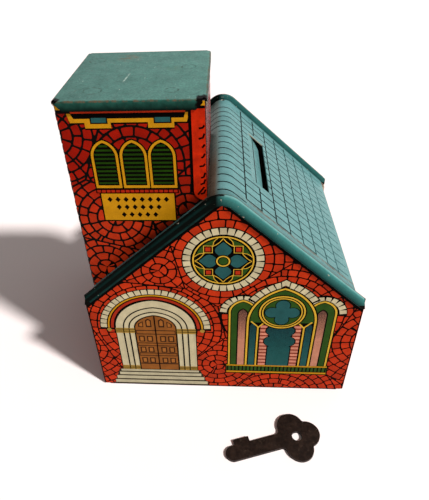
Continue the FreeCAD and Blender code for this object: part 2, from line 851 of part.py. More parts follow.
def make_lock_bolt():
    body = new_body("lock_bolt")
    tail = case_back + size("bolt_throw") + size("bolt_tail")
    half_talon = size("talon_width") / 2
    talon_middle = key_y + size("bolt_throw") / 2
    talon_root = bolt_right - size("talon_depth")
    drawing = pad(body, "plate", "XY", bolt_low, bolt_high)
    outline(
        drawing,
        [
            (bolt_left, bolt_nose),
            (bolt_right, bolt_nose),
            (bolt_right, talon_middle - half_talon),
            (talon_root, talon_middle - half_talon),
            (talon_root, talon_middle + half_talon),
            (bolt_right, talon_middle + half_talon),
            (bolt_right, tail),
            (bolt_left, tail),
        ],
    )

    def on_nose(edge, middle):
        return near(middle.y, bolt_nose.value) and near(middle.z, bolt_high.value) and along(edge, "x")

    round_edges(body, "nose_bevel", size("bolt_thickness") / 2, on_nose, "Chamfer")
    place_in_house(body)
    return body


def make_bolt_spring():
    body = new_body("bolt_spring")
    thick = size("spring_gauge")
    foot = case_left + gauge
    crown = bolt_left - size("spring_gap")
    rise = crown - foot - thick
    half_span = size("spring_span") / 2
    inner_radius = (rise * rise + half_span * half_span) / (rise * 2)
    middle = ear_middle
    outer_half = root((inner_radius + thick) * (inner_radius + thick) - (inner_radius - rise) * (inner_radius - rise))
    drawing = pad(body, "leaf", "XY", bolt_low, bolt_high)
    outline(
        drawing,
        [
            (foot, middle - outer_half, inner_radius + thick, 1),
            (foot, middle + outer_half),
            (foot, middle + half_span, inner_radius, -1),
            (foot, middle - half_span),
        ],
    )
    place_in_house(body)
    return body


def make_key():
    body = new_body("key")
    thick = size("key_gauge")
    tip = -shank_radius
    bit_low, bit_high = tip + size("bit_start"), tip + size("bit_start") + size("bit_length")
    lobe = size("bow_lobe")
    end_lobe = tip + size("key_length") - lobe
    side_lobe = end_lobe - size("bow_step")
    drawing = pad(body, "shank", "XY", NOUGHT, thick)
    outline(
        drawing,
        [
            (tip, NOUGHT, shank_radius, 1),
            (NOUGHT, -shank_radius),
            (end_lobe, -shank_radius),
            (end_lobe, shank_radius),
            (bit_high, shank_radius),
            (bit_high, bit_reach),
            (bit_low, bit_reach),
            (bit_low, shank_radius),
            (NOUGHT, shank_radius, shank_radius, 1),
        ],
    )
    spread = size("bow_spread")
    for label, x, y in (("end", end_lobe, NOUGHT), ("left", side_lobe, spread), ("right", side_lobe, -spread)):
        circle(pad(body, label + "_lobe", "XY", NOUGHT, thick), x, y, lobe)

    def at_neck(edge, middle):
        return along(edge, "z") and bit_high.value + 1 < middle.x < side_lobe.value

    def at_notch(edge, middle):
        return along(edge, "z") and middle.x > side_lobe.value and abs(middle.y) > lobe.value / 2

    round_edges(body, "neck", size("key_neck_round"), at_neck)
    round_edges(body, "notches", size("key_notch_round"), at_notch)
    drawing = pocket(body, "ring_hole", "XY", NOUGHT, thick)
    circle(drawing, side_lobe + size("bow_hole_step"), NOUGHT, size("bow_hole") / 2)
    body.setExpression("Placement.Base.x", size("key_tip_x").text)
    body.setExpression("Placement.Base.y", (shank_radius - rim_front - size("key_reach") / 2).text)
    body.setExpression("Placement.Rotation.Angle", size("key_angle").text)
    return body


pieces = [
    make_roof_and_sides(),
    make_gable("front_gable", False),
    make_gable("back_gable", True),
    make_tower_wall(),
    make_tower_cap(),
    make_base_plate(),
    make_hinge_pin(),
    make_coin_door(),
    make_lock_case(),
    make_lock_rivets(),
    make_lock_bolt(),
    make_bolt_spring(),
    make_key(),
]
doc.recompute()

for item in doc.Objects:
    if {"Invalid", "Error"} & set(item.State):
        raise ValueError(f"{item.Label} failed: {item.State}")
for piece in pieces:
    if piece.Shape.isNull() or not piece.Shape.isValid():
        raise ValueError(f"{piece.Label} has no valid shape")

os.makedirs("parts", exist_ok=True)
for piece in pieces:
    piece.Shape.exportStep(f"parts/{piece.Label}.step")
    box = piece.Shape.BoundBox
    print(
        f"{piece.Label}: {len(piece.Shape.Solids)} solid, {piece.Shape.Volume:.1f} mm3,"
        f" x {box.XMin:.2f}..{box.XMax:.2f} y {box.YMin:.2f}..{box.YMax:.2f} z {box.ZMin:.2f}..{box.ZMax:.2f}"
    )
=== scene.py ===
import json
import math
import random

import bpy
from mathutils import Matrix, Vector

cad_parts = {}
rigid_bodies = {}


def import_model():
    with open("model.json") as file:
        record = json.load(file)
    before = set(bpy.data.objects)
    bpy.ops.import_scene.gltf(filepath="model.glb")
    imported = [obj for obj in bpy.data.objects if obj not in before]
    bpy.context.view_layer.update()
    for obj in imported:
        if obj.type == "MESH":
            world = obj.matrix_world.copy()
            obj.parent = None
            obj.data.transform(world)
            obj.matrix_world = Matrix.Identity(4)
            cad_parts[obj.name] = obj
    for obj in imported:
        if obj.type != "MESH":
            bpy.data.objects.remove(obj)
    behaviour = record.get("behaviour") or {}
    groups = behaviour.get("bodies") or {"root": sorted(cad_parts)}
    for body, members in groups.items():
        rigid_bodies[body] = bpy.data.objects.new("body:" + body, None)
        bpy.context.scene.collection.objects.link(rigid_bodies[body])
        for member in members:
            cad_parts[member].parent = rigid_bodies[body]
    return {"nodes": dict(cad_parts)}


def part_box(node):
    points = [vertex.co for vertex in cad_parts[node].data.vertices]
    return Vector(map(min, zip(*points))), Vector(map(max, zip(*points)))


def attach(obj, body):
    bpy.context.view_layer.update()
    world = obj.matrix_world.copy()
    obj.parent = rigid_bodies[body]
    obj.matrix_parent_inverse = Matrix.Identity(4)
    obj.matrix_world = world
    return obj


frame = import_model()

# A church-shaped tinplate coin bank: the print on its tin, its materials, the light and the camera.
# Sizes are millimetres, turned into metres where a mesh is made. INK is the thickness of one layer of
# print and SHEET that of the tin.

MM = 0.001
INK = 0.01
SHEET = 0.3

scene = bpy.context.scene


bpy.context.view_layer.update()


def edge(node, end, axis):
    """Where a CAD node ends: end 0 is its low side and 1 its high side."""
    return float(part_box(node)[end]["xyz".index(axis)]) / MM


# Places taken from the frame

front = edge("front_gable", 0, "y")
back = edge("back_gable", 1, "y")
middle = (front + back) / 2
half_depth = (back - front) / 2
gable_half = edge("front_gable", 1, "x")
tower_left, tower_right = edge("tower_wall", 0, "x"), edge("tower_wall", 1, "x")
lap_front = edge("tower_wall", 0, "y")
tower_front, tower_back = lap_front + SHEET, edge("tower_wall", 1, "y")
tower_top = edge("tower_wall", 1, "z")
side = -tower_left
eave = edge("tower_wall", 0, "z")

# Sizes of the roof and its slot that the frame's boxes don't give; top and bottom lie down the slope

pitch = math.radians(42.3)
ridge = eave + side * math.tan(pitch)
ridge_radius = 4.5
slot_top, slot_bottom = 11.6, 18.8
slot_middle, slot_half = middle + 2.8, 15.9
slot_near, slot_far = slot_middle - slot_half, slot_middle + slot_half
flap_lean = math.radians(16.0)


class Wall:
    """A flat face of the tin: a point on it and the directions across and up it."""

    def __init__(self, origin, across, up=(0, 0, 1)):
        self.origin, self.across, self.up = Vector(origin), Vector(across), Vector(up)
        self.out = self.across.cross(self.up)

    def point(self, u, v, lift):
        return (self.origin + self.across * u + self.up * v + self.out * lift) * MM

    def matrix(self):
        turn = Matrix((self.across, self.up, self.out)).transposed().to_4x4()
        return Matrix.Translation(self.origin * MM) @ turn


front_wall = Wall((0, front, 0), (1, 0, 0))
back_wall = Wall((0, back, 0), (-1, 0, 0))
right_wall = Wall((side, middle, 0), (0, 1, 0))
left_wall = Wall((-side, middle, 0), (0, -1, 0))
tower_front_wall = Wall((0, tower_front, 0), (1, 0, 0))
tower_back_wall = Wall((0, tower_back, 0), (-1, 0, 0))
tower_right_wall = Wall((tower_right, 0, 0), (0, 1, 0))
tower_left_wall = Wall((tower_left, 0, 0), (0, -1, 0))
lap_wall = Wall((0, lap_front, 0), (1, 0, 0))
right_slope = Wall((0, 0, ridge), (0, 1, 0), (-math.cos(pitch), 0, math.sin(pitch)))
left_slope = Wall((0, 0, ridge), (0, -1, 0), (math.cos(pitch), 0, math.sin(pitch)))


# Node trees


class Wiring:
    """Adds nodes to a tree and joins them. A socket value is a number, a colour or another socket."""

    def __init__(self, tree):
        self.tree = tree
        tree.nodes.clear()

    def add(self, kind, sockets=None, **settings):
        node = self.tree.nodes.new(kind)
        for name, value in settings.items():
            setattr(node, name, value)
        for key, value in (sockets or {}).items():
            if isinstance(value, bpy.types.NodeSocket):
                self.tree.links.new(value, node.inputs[key])
            else:
                node.inputs[key].default_value = value
        return node

    def get(self, kind, sockets=None, **settings):
        """The first output of a new node."""
        return self.add(kind, sockets, **settings).outputs[0]

    def split(self, vector):
        """The x, y and z of a vector."""
        return self.add("ShaderNodeSeparateXYZ", {0: vector}).outputs

    def math(self, operation, a, b=0.0):
        return self.get("ShaderNodeMath", {0: a, 1: b}, operation=operation)

    def plus(self, a, b):
        return self.math("ADD", a, b)

    def minus(self, a, b):
        return self.math("SUBTRACT", a, b)

    def times(self, *factors):
        total = factors[0]
        for factor in factors[1:]:
            total = self.math("MULTIPLY", total, factor)
        return total

    def most(self, a, b):
        return self.math("MAXIMUM", a, b)

    def root(self, value):
        return self.math("SQRT", value)

    def unsigned(self, value):
        return self.math("ABSOLUTE", value)


def linear(colour):
    """A colour given 0 to 255, as the linear values that a shader takes."""
    parts = [part / 255 for part in colour]
    return tuple(p / 12.92 if p <= 0.04045 else ((p + 0.055) / 1.055) ** 2.4 for p in parts) + (1.0,)


class Coat(Wiring):
    """One material, built from the tin outward. Its textures lie in the object's own millimetres."""

    def __init__(self, name):
        self.material = bpy.data.materials.new(name)
        self.material.use_nodes = True
        super().__init__(self.material.node_tree)
        place = self.add("ShaderNodeTexCoord").outputs["Object"]
        self.mm = self.get("ShaderNodeMapping", {"Vector": place, "Scale": (1 / MM,) * 3})

    def noise(self, size, detail=3.0, stretch=(1, 1, 1), roughness=0.55):
        spot = self.mm
        if stretch != (1, 1, 1):
            spot = self.get("ShaderNodeMapping", {"Vector": spot, "Scale": stretch})
        sockets = {"Vector": spot, "Scale": 1 / size, "Detail": detail, "Roughness": roughness}
        return self.add("ShaderNodeTexNoise", sockets).outputs["Fac"]

    def ramp(self, value, low, high, start=0.0, end=1.0):
        sockets = {"Value": value, "From Min": low, "From Max": high, "To Min": start, "To Max": end}
        return self.get("ShaderNodeMapRange", sockets)

    def spots(self, low, high, *noise, **settings):
        """A mask of the places where a noise is strong."""
        return self.ramp(self.noise(*noise, **settings), low, high)

    def uneven(self, low, high, *noise, **settings):
        """A noise spread between two values."""
        return self.ramp(self.noise(*noise, **settings), 0.3, 0.7, low, high)

    def mix(self, factor, a, b, **settings):
        sockets = {0: factor, 6: a, 7: b}
        return self.add("ShaderNodeMix", sockets, data_type="RGBA", **settings).outputs[2]

    def shade(self, colour, factor):
        """The colour made darker or paler by a factor around 1."""
        grey = self.get("ShaderNodeCombineColor", {0: factor, 1: factor, 2: factor})
        return self.mix(1.0, colour, grey, blend_type="MULTIPLY")

    def facing(self):
        """The face's own direction, as x, y and z."""
        return self.split(self.add("ShaderNodeNewGeometry").outputs["True Normal"])

    def place(self):
        """The shaded spot's x, y and z in millimetres."""
        return self.split(self.mm)

    def finish(self, colour, roughness, metallic=0.0, bump=None, height=0.02, gloss=0.14):
        sockets = {"Base Color": colour, "Roughness": roughness, "Metallic": metallic}
        sockets["Specular IOR Level"] = gloss
        if bump is not None:
            relief = {"Height": bump, "Strength": 0.35, "Distance": height * MM}
            sockets["Normal"] = self.get("ShaderNodeBump", relief)
        skin = self.get("ShaderNodeBsdfPrincipled", sockets)
        self.add("ShaderNodeOutputMaterial", {"Surface": skin})
        return self.material


# Materials

BARE_TIN = linear((176, 168, 150))
BLACK = (5, 3, 2)
BLACK_INK = linear(BLACK)
TOWER_RED = (132, 16, 2)
TOWER_FOOT_RED = (160, 42, 13)
TEAL = linear((87, 128, 128))
MID_TEAL = linear((50, 104, 100))
DARK_TEAL = linear((12, 54, 51))
CREST_HIGHLIGHT_TEAL = linear((95, 140, 137))
RIM_SHADE_BLACK = linear((2, 6, 4))
RIM_GLINT_TEAL = linear((13, 46, 43))
RUST = linear((112, 70, 40))
DULL_RUST = linear((84, 66, 50))


def printing_ink(name, colour, spread=0.16, worn=0.68, foot_colour=None, gloss=0.03, rough=0.36):
    """Lithographer's ink on tin: uneven film, fine grain, small scuffs through to the metal.
    The tower's ink has another colour at its foot, and painted shade just above the roof on its right half."""
    coat = Coat(name)
    patchy = coat.uneven(1 - spread, 1 + spread, 3.2)
    grain = coat.uneven(0.9, 1.08, 0.28, 2.0)
    tone = coat.add("ShaderNodeAttribute", attribute_name="tone").outputs["Fac"]
    tint = coat.times(patchy, grain, coat.ramp(tone, 0.0, 1.0, 0.86, 1.13))
    base = linear(colour)
    if foot_colour is not None:
        x, _, z = coat.place()
        base = coat.mix(coat.ramp(z, 66.0, 82.0), linear(foot_colour), base)
        # Painted shade: the tower's ink darkens just above the roof line, on the tower's right half only.
        below_ridge = coat.times(coat.unsigned(x), math.tan(pitch))
        above_roof = coat.minus(z, coat.minus(ridge, below_ridge))
        rim_contact_shade = coat.ramp(above_roof, 1.0, 6.0, 0.25, 1.0)
        tint = coat.times(tint, coat.most(rim_contact_shade, coat.ramp(x, -32.0, -17.0, 1.0, 0.0)))
    base = coat.shade(base, tint)
    scuff = coat.times(coat.spots(worn + 0.06, worn + 0.12, 0.9, 5.0), 0.7)
    base = coat.mix(scuff, base, BARE_TIN)
    matt = coat.uneven(rough, rough + 0.14, 1.6)
    return coat.finish(base, matt, bump=coat.noise(0.5, 3.0), height=0.01, gloss=gloss)


def tin_colour(coat):
    """Bare tinplate: rolled streaks, dull patches, brown specks."""
    streaks = coat.uneven(0.82, 1.1, 0.5, 4.0, (0.06, 1, 1))
    base = coat.shade(BARE_TIN, streaks)
    specks = coat.spots(0.66, 0.74, 1.1, 5.0)
    return coat.mix(coat.times(specks, 0.7), base, RUST)


def bare_tin():
    coat = Coat("bare_tin")
    rough = coat.uneven(0.3, 0.5, 2.5, 4.0)
    return coat.finish(tin_colour(coat), rough, 0.85, coat.noise(0.7, 3.0), 0.02)


def steel(name, colour, rough, metallic):
    coat = Coat(name)
    stain = coat.ramp(coat.noise(2.2, 4.0), 0.35, 0.7, 0.75, 1.2)
    base = coat.shade(linear(colour), stain)
    base = coat.mix(coat.times(coat.spots(0.62, 0.72, 0.8, 4.0), 0.5), base, RUST)
    matt = coat.uneven(rough - 0.08, rough + 0.1, 1.0)
    return coat.finish(base, matt, metallic, coat.noise(0.4, 4.0), 0.03)


def key_steel():
    """Blackened stamped steel, browner and paler where fingers wore it."""
    coat = Coat("key_steel")
    brown = coat.spots(0.42, 0.66, 1.8, 5.0)
    base = coat.mix(brown, linear((27, 18, 14)), linear((42, 30, 24)))
    worn = coat.times(coat.spots(0.6, 0.72, 0.7, 5.0), 0.55)
    base = coat.mix(worn, base, linear((74, 60, 50)))
    rough = coat.uneven(0.36, 0.56, 0.9)
    return coat.finish(base, rough, 0.35, coat.noise(0.35, 5.0), 0.05)


def tin_inside(coat, ink, outside):
    """Ink on the outside of the sheet and bare tin on its inside."""
    return coat.mix(outside, tin_colour(coat), ink)


def roof_print():
    """Teal roof ink on a rolled rim, with a painted highlight along its crest and painted shade down to its
    foot.
    The rim's left half is painted near black as shade, and the side walls have the black ground of their
    stonework."""
    coat = Coat("roof_print")
    nx, ny, nz = coat.facing()
    x, y, z = coat.place()
    depth = coat.unsigned(coat.minus(y, middle))
    upright = coat.unsigned(ny)
    rounded = coat.root(coat.plus(coat.times(x, x), 3.0))
    under_peak = coat.times(coat.minus(ridge, z), math.cos(pitch))
    below = coat.minus(under_peak, coat.times(rounded, math.sin(pitch)))
    rim = coat.ramp(depth, half_depth - 0.75, half_depth - 0.65)

    # Painted light on the rim: a pale highlight on its flatter crest faces, mid teal on its upright faces,
    # and painted shade darkening down to its foot.
    ink = coat.mix(coat.ramp(upright, 0.35, 0.75), CREST_HIGHLIGHT_TEAL, MID_TEAL)
    ink = coat.mix(coat.ramp(below, -1.0, 0.7), ink, DARK_TEAL)
    back_edge = coat.times(coat.ramp(depth, half_depth + 0.05, half_depth - 0.25),
                           coat.ramp(upright, 0.7, 0.5))
    ink = coat.mix(coat.times(back_edge, 0.75), ink, DARK_TEAL)
    rusty = coat.times(back_edge, coat.spots(0.4, 0.55, 1.2, 5.0), 0.8)
    ink = coat.mix(rusty, ink, DULL_RUST)
    # Painted shade: the rim's left half, from just right of the peak, is turned near black.
    ink = coat.mix(coat.ramp(x, 0.6, -1.6), ink, RIM_SHADE_BLACK)
    # Painted highlight: two thin teal lines along the dark left half of the rim, one high and one low.
    low_glint = coat.times(coat.ramp(below, 0.2, 0.5), coat.ramp(below, 1.15, 0.9))
    high_glint = coat.times(coat.ramp(below, -1.7, -1.4), coat.ramp(below, -0.8, -1.1), 0.5)
    streaks = coat.times(coat.most(low_glint, high_glint), coat.ramp(x, -2.0, -6.0),
                         coat.ramp(coat.noise(3.0), 0.3, 0.55, 0.35, 0.85))
    ink = coat.mix(streaks, ink, RIM_GLINT_TEAL)

    # Painted reflection: the slope between the tower and the ridge is turned brown for the red tower's
    # reflection, most strongly towards the front.
    beside_tower = coat.times(coat.ramp(x, -0.6, -2.0), coat.ramp(x, -7.0, -5.0),
                              coat.ramp(y, tower_front + 26.0, tower_front + 14.0, 0.6, 0.95))
    slope = coat.mix(beside_tower, TEAL, linear((92, 78, 64)))
    from_crease = coat.unsigned(coat.minus(y, front + 6.9))
    crease = coat.times(coat.ramp(from_crease, 0.75, 0.25), coat.ramp(x, 3.0, 10.0),
                        coat.ramp(coat.noise(1.1, 5.0), 0.38, 0.55, 0.25, 0.85))
    slope = coat.mix(crease, slope, linear((84, 72, 58)))
    # Painted shade: the slope darkens next to the rim's foot, and more so behind the front rim.
    rim_foot_shade = coat.times(coat.ramp(depth, half_depth - 1.5, half_depth - 0.8, 1.0, 0.45),
                             coat.ramp(y, front + 7.0, front + 4.2, 1.0, 0.66))
    ink = coat.mix(rim, coat.shade(slope, rim_foot_shade), ink)
    patchy = coat.uneven(0.87, 1.12, 4.5, 4.0)
    grain = coat.uneven(0.9, 1.08, 0.35, 3.0)
    ink = coat.shade(ink, coat.times(patchy, grain))

    # Painted shade: a black spot on the front crest just left of the peak, standing in for the dark relief
    # hole behind it.
    from_notch = coat.unsigned(coat.plus(x, 0.5))
    apex_hole_shade = coat.times(rim, coat.ramp(from_notch, 1.3, 0.8), coat.ramp(upright, 0.6, 0.4),
                       coat.ramp(y, middle, middle - 1.0), coat.spots(0.35, 0.5, 0.8))
    ink = coat.mix(apex_hole_shade, ink, BLACK_INK)
    near_peak = coat.times(coat.ramp(x, 15.0, 4.0, 0.0, 0.07), coat.ramp(x, -3.0, 1.0))
    loose = coat.plus(coat.noise(1.5, 4.0), near_peak)
    chipped = coat.times(rim, coat.ramp(upright, 0.05, 0.2), coat.ramp(loose, 0.7, 0.74))
    specks = coat.times(coat.spots(0.7, 0.75, 0.75, 5.0), 0.5)
    ink = coat.mix(coat.most(chipped, specks), ink, BARE_TIN)
    flap_end = coat.times(coat.ramp(depth, half_depth - 8, half_depth - 9), coat.ramp(upright, 0.4, 0.6))
    ink = coat.mix(flap_end, ink, BARE_TIN)
    wall = coat.times(coat.ramp(coat.unsigned(x), side - 0.2, side - 0.1),
                      coat.ramp(z, eave - 0.5, eave - 0.7))
    ink = coat.mix(wall, ink, BLACK_INK)

    lean = coat.times(coat.math("SIGN", x), nx)
    facing_out = coat.plus(coat.times(lean, math.sin(pitch)), coat.times(nz, math.cos(pitch)))
    outside = coat.ramp(facing_out, -0.2, -0.1)
    outside = coat.most(outside, coat.ramp(depth, half_depth - 0.1, half_depth))
    # The rim's left half, painted near black as shade, is also made rougher.
    left_rim_roughness = coat.times(rim, coat.ramp(x, 0.6, -1.6, 0.0, 0.45))
    rough = coat.plus(coat.uneven(0.22, 0.36, 1.4, 4.0), left_rim_roughness)
    return coat.finish(tin_inside(coat, ink, outside), rough, 0.0, coat.noise(1.1, 4.0), 0.02, 0.03)


def gable_print(name, hand):
    """The printed ground of a gable: black between its stones, red on its flanges, tin behind. A hand of 1
    is for the gable that faces the front."""
    coat = Coat(name)
    nx, ny, _ = coat.facing()
    x = coat.place()[0]
    patchy = coat.uneven(0.8, 1.3, 1.2)
    flange = coat.ramp(coat.times(coat.math("SIGN", x), nx), 0.5, 0.7)
    flange = coat.times(flange, coat.ramp(coat.unsigned(x), gable_half - 0.3, gable_half - 0.2))
    ink = coat.shade(coat.mix(flange, BLACK_INK, linear((150, 40, 11))), patchy)
    outside = coat.most(coat.ramp(coat.times(ny, -hand), 0.3, 0.4), flange)
    rough = coat.uneven(0.36, 0.5, 1.6)
    return coat.finish(tin_inside(coat, ink, outside), rough, 0.0, coat.noise(0.8, 3.0), 0.01, 0.01)


def tower_print():
    """The tower's printed ground, with plain red on the tab that laps its front."""
    coat = Coat("tower_print")
    nx, ny, _ = coat.facing()
    x, y, _ = coat.place()
    red = coat.shade(linear((166, 32, 4)), coat.uneven(0.7, 1.3, 2.0, 4.0))
    lap = coat.ramp(y, tower_front - 0.05, tower_front - 0.1)
    ink = coat.mix(lap, BLACK_INK, red)
    from_middle_x = coat.minus(x, (tower_left + tower_right) / 2)
    from_middle_y = coat.minus(y, (tower_front + tower_back) / 2)
    away = coat.plus(coat.times(from_middle_x, nx), coat.times(from_middle_y, ny))
    rough = coat.uneven(0.34, 0.48, 1.6)
    return coat.finish(tin_inside(coat, ink, coat.ramp(away, -2.0, 0.5)), rough, 0.0,
                       coat.noise(0.8, 3.0), 0.01, 0.03)


def cap_paint():
    """The tower's teal cap: a stained and scratched top, lips painted darker with painted shade towards their
    lower edge, dull rust where it bends and two black corners in front."""
    coat = Coat("cap_paint")
    nz = coat.facing()[2]
    x, y, z = coat.place()

    def away_from(u, v):
        du, dv = coat.minus(x, u), coat.minus(y, v)
        return coat.root(coat.plus(coat.times(du, du), coat.times(dv, dv)))

    def ring_mark(u, v, radius):
        off_line = coat.unsigned(coat.minus(away_from(u, v), radius))
        broken = coat.spots(0.42, 0.55, 0.9, 4.0)
        return coat.times(coat.ramp(off_line, 0.35, 0.1), broken, 0.75)

    def blot(u, v, radius, strength):
        ragged = coat.spots(0.4, 0.65, 1.8, 5.0)
        return coat.times(coat.ramp(away_from(u, v), radius, 0.0), ragged, strength)

    clouds = coat.ramp(coat.noise(6.0, 6.0, roughness=0.65), 0.32, 0.68, 0.84, 1.14)
    blots = coat.ramp(coat.noise(1.6, 5.0), 0.34, 0.5, 0.86, 1.0)
    grain = coat.uneven(0.7, 1.3, 0.45, 4.0, roughness=0.7)
    # Painted light: the top gets paler towards the right, where the light comes from, and darker towards the
    # left.
    shade = coat.ramp(x, tower_left, tower_right, 0.86, 1.1)
    top = coat.shade(linear((75, 113, 105)), coat.times(clouds, blots, grain, shade))
    rings = 0.0
    for u, behind, radius in ((tower_right - 8.2, 5.5, 1.6), (tower_left + 4.3, 30.0, 2.2),
                              (tower_right - 5.2, 23.0, 1.8), (tower_left + 8.2, 5.9, 2.2)):
        rings = coat.most(ring_mark(u, tower_front + behind, radius), rings)
    top = coat.mix(rings, top, linear((44, 62, 54)))
    green_blot = blot(tower_right - 9.0, tower_front + 22.0, 2.6, 0.6)
    top = coat.mix(green_blot, top, linear((70, 84, 40)))
    top = coat.mix(blot(tower_left + 13.0, tower_back - 6.0, 4.2, 0.8), top, RUST)
    lean = coat.times(coat.minus(y, tower_front + 15.0), 0.11)
    off_scratch = coat.minus(coat.minus(x, tower_left + 15.0), lean)
    scratch = coat.times(coat.ramp(coat.unsigned(off_scratch), 0.3, 0.1),
                         coat.ramp(away_from(tower_left + 15.0, tower_front + 15.0), 3.6, 3.0),
                         coat.ramp(coat.noise(0.8), 0.4, 0.6, 0.2, 0.75))
    fine = coat.times(coat.spots(0.69, 0.73, 0.5, 3.0, (0.9, 0.12, 1)), 0.5)
    top = coat.mix(coat.most(scratch, fine), top, linear((168, 186, 176)))
    # Painted shade: the lips are darker than the top and turn near black towards their lower edge.
    shaded_lip = coat.mix(coat.ramp(z, tower_top - 1.7, tower_top), linear((3, 18, 12)), linear((30, 72, 62)))
    shaded_lip = coat.shade(shaded_lip, coat.uneven(0.6, 1.15, 1.5))
    ink = coat.mix(coat.ramp(nz, 0.7, 0.95), shaded_lip, top)
    bend = coat.times(coat.ramp(nz, 0.2, 0.4), coat.ramp(nz, 0.985, 0.95),
                      coat.spots(0.44, 0.6, 1.4, 6.0, roughness=0.7), 0.85)
    specks = coat.times(coat.spots(0.67, 0.73, 0.8, 5.0), 0.6)
    ink = coat.mix(coat.most(bend, specks), ink, DULL_RUST)
    torn = coat.uneven(-0.7, 0.7, 1.3, 4.0)
    for u, reach in ((tower_right - 0.5, 2.0), (tower_left + 0.2, 1.3)):
        ragged = coat.plus(away_from(u, tower_front), torn)
        ink = coat.mix(coat.ramp(ragged, reach, reach - 0.4), ink, BLACK_INK)
    rough = coat.uneven(0.3, 0.5, 2.0, 4.0)
    base = tin_inside(coat, ink, coat.ramp(nz, -0.7, -0.5))
    return coat.finish(base, rough, 0.0, coat.noise(1.6, 4.0), 0.03, 0.02)


def shaded_glass(name, low_colour, high_colour, low, high):
    """Ink stippled from one colour at the foot of a window into a darker one at its head."""
    coat = Coat(name)
    stipple = coat.uneven(-0.3, 0.3, 0.35, 3.0)
    rise = coat.plus(coat.ramp(coat.place()[2], low, high), stipple)
    base = coat.mix(coat.ramp(rise, 0.15, 0.95), linear(low_colour), linear(high_colour))
    base = coat.shade(base, coat.uneven(0.88, 1.12, 2.4))
    rough = coat.uneven(0.36, 0.5, 1.6)
    return coat.finish(base, rough, bump=coat.noise(0.5, 3.0), height=0.01, gloss=0.05)


def tile_line():
    """The roof's line ink, black near the ridge and turning dark teal towards the eave."""
    coat = Coat("tile_line")
    faded = coat.ramp(coat.unsigned(coat.place()[0]), 13.0, 38.0)
    patchy = coat.ramp(coat.noise(1.2, 4.0), 0.35, 0.65, -0.2, 0.2)
    worn = coat.ramp(coat.plus(faded, patchy), 0.0, 1.0)
    base = coat.mix(worn, BLACK_INK, linear((52, 90, 90)))
    return coat.finish(base, 0.5, gloss=0.01)


INKS = {
    "tile": tile_line(),
    "black": printing_ink("black_ink", BLACK, 0.2, 0.75, gloss=0.01),
    "stone": printing_ink("stone_red", (163, 42, 11)),
    "tower_stone": printing_ink("tower_red", TOWER_RED, foot_colour=TOWER_FOOT_RED),
    "side_stone": printing_ink("tower_side_red", TOWER_RED, foot_colour=TOWER_FOOT_RED, gloss=0.45,
                               rough=0.16),
    "deep": shaded_glass("glass_deep", (24, 74, 72), (8, 42, 46), 14.0, 34.0),
    "pink": shaded_glass("glass_pink", (172, 116, 92), (62, 40, 34), 22.0, 40.0),
}
for title, *settings in (
        ("yellow", "sign_yellow", (174, 122, 12), 0.1),
        ("gold", "line_yellow", (192, 152, 46), 0.1),
        ("cream", "block_cream", (177, 167, 134), 0.1),
        ("step", "step_grey", (166, 159, 130), 0.12),
        ("step_side", "step_shade", (40, 32, 20), 0.15),
        ("ochre", "capital_ochre", (146, 116, 48), 0.2),
        ("wood", "door_brown", (125, 74, 28), 0.16),
        ("wood_line", "door_line", (34, 17, 6), 0.15),
        ("panel", "door_panel", (141, 86, 34), 0.15),
        ("arch_red", "arch_red", (146, 36, 14), 0.2),
        ("green", "glass_green", (36, 66, 18), 0.18),
        ("louvre", "louvre_green", (22, 50, 1), 0.14),
        ("teal", "glass_teal", (31, 75, 75), 0.15),
        ("brick", "brick_pink", (184, 118, 96), 0.12),
        ("mortar", "brick_joint", (116, 44, 28), 0.12)):
    INKS[title] = printing_ink(*settings)


# Print


def arc(centre, radius, start, end, steps=24):
    """Points along an arc, in degrees counterclockwise from the right."""
    turns = [math.radians(start + (end - start) * step / steps) for step in range(steps + 1)]
    return [(centre[0] + radius * math.cos(turn), centre[1] + radius * math.sin(turn)) for turn in turns]


def mirrored(outline, centre):
    return [(2 * centre - u, v) for u, v in outline]


def arch(centre, spring, half, point, steps=14):
    """Points of an arch from its right spring to its left; point moves its two centres apart."""
    radius = half + point
    crown = math.degrees(math.acos(point / radius))
    right = arc((centre - point, spring), radius, 0, crown, steps)
    return right + mirrored(right[:-1], centre)[::-1]


def lancet(centre, foot, spring, half, point):
    """The closed outline of an opening under an arch."""
    return [(centre - half, foot), (centre + half, foot)] + arch(centre, spring, half, point)


def rectangle(u0, v0, u1, v1):
    return [(u0, v0), (u1, v0), (u1, v1), (u0, v1)]


def sides(outline):
    """Each two neighbouring corners of a closed outline."""
    return zip(outline, outline[1:] + outline[:1])


def between(a, b, share):
    """The point at a share of the way from a to b."""
    return (a[0] + (b[0] - a[0]) * share, a[1] + (b[1] - a[1]) * share)


def signed_area(outline):
    return sum(a[0] * b[1] - b[0] * a[1] for a, b in sides(outline)) / 2


def cut(outline, spot, normal):
    """The part of an outline on the side of a line that the normal points to."""
    kept = []
    for a, b in sides(outline):
        near = (a[0] - spot[0]) * normal[0] + (a[1] - spot[1]) * normal[1]
        far = (b[0] - spot[0]) * normal[0] + (b[1] - spot[1]) * normal[1]
        if near >= 0:
            kept.append(a)
        if near * far < 0:
            kept.append(between(a, b, near / (near - far)))
    return kept


def blunted(outline, reach):
    """The outline with each corner cut off, by at most a third of its sides."""
    points = []
    for a, b in sides(outline):
        length = math.dist(a, b)
        if length < 1e-6:
            continue
        share = min(reach / length, 0.33)
        points += [between(a, b, share), between(b, a, share)]
    return points


def ribbon(path, width):
    """The outline of a line of one width along a path."""
    left, right = [], []
    for number, spot in enumerate(path):
        before, after = path[max(number - 1, 0)], path[min(number + 1, len(path) - 1)]
        length = math.dist(before, after)
        du, dv = (before[1] - after[1]) / length * width / 2, (after[0] - before[0]) / length * width / 2
        left.append((spot[0] + du, spot[1] + dv))
        right.append((spot[0] - du, spot[1] - dv))
    return right + left[::-1]


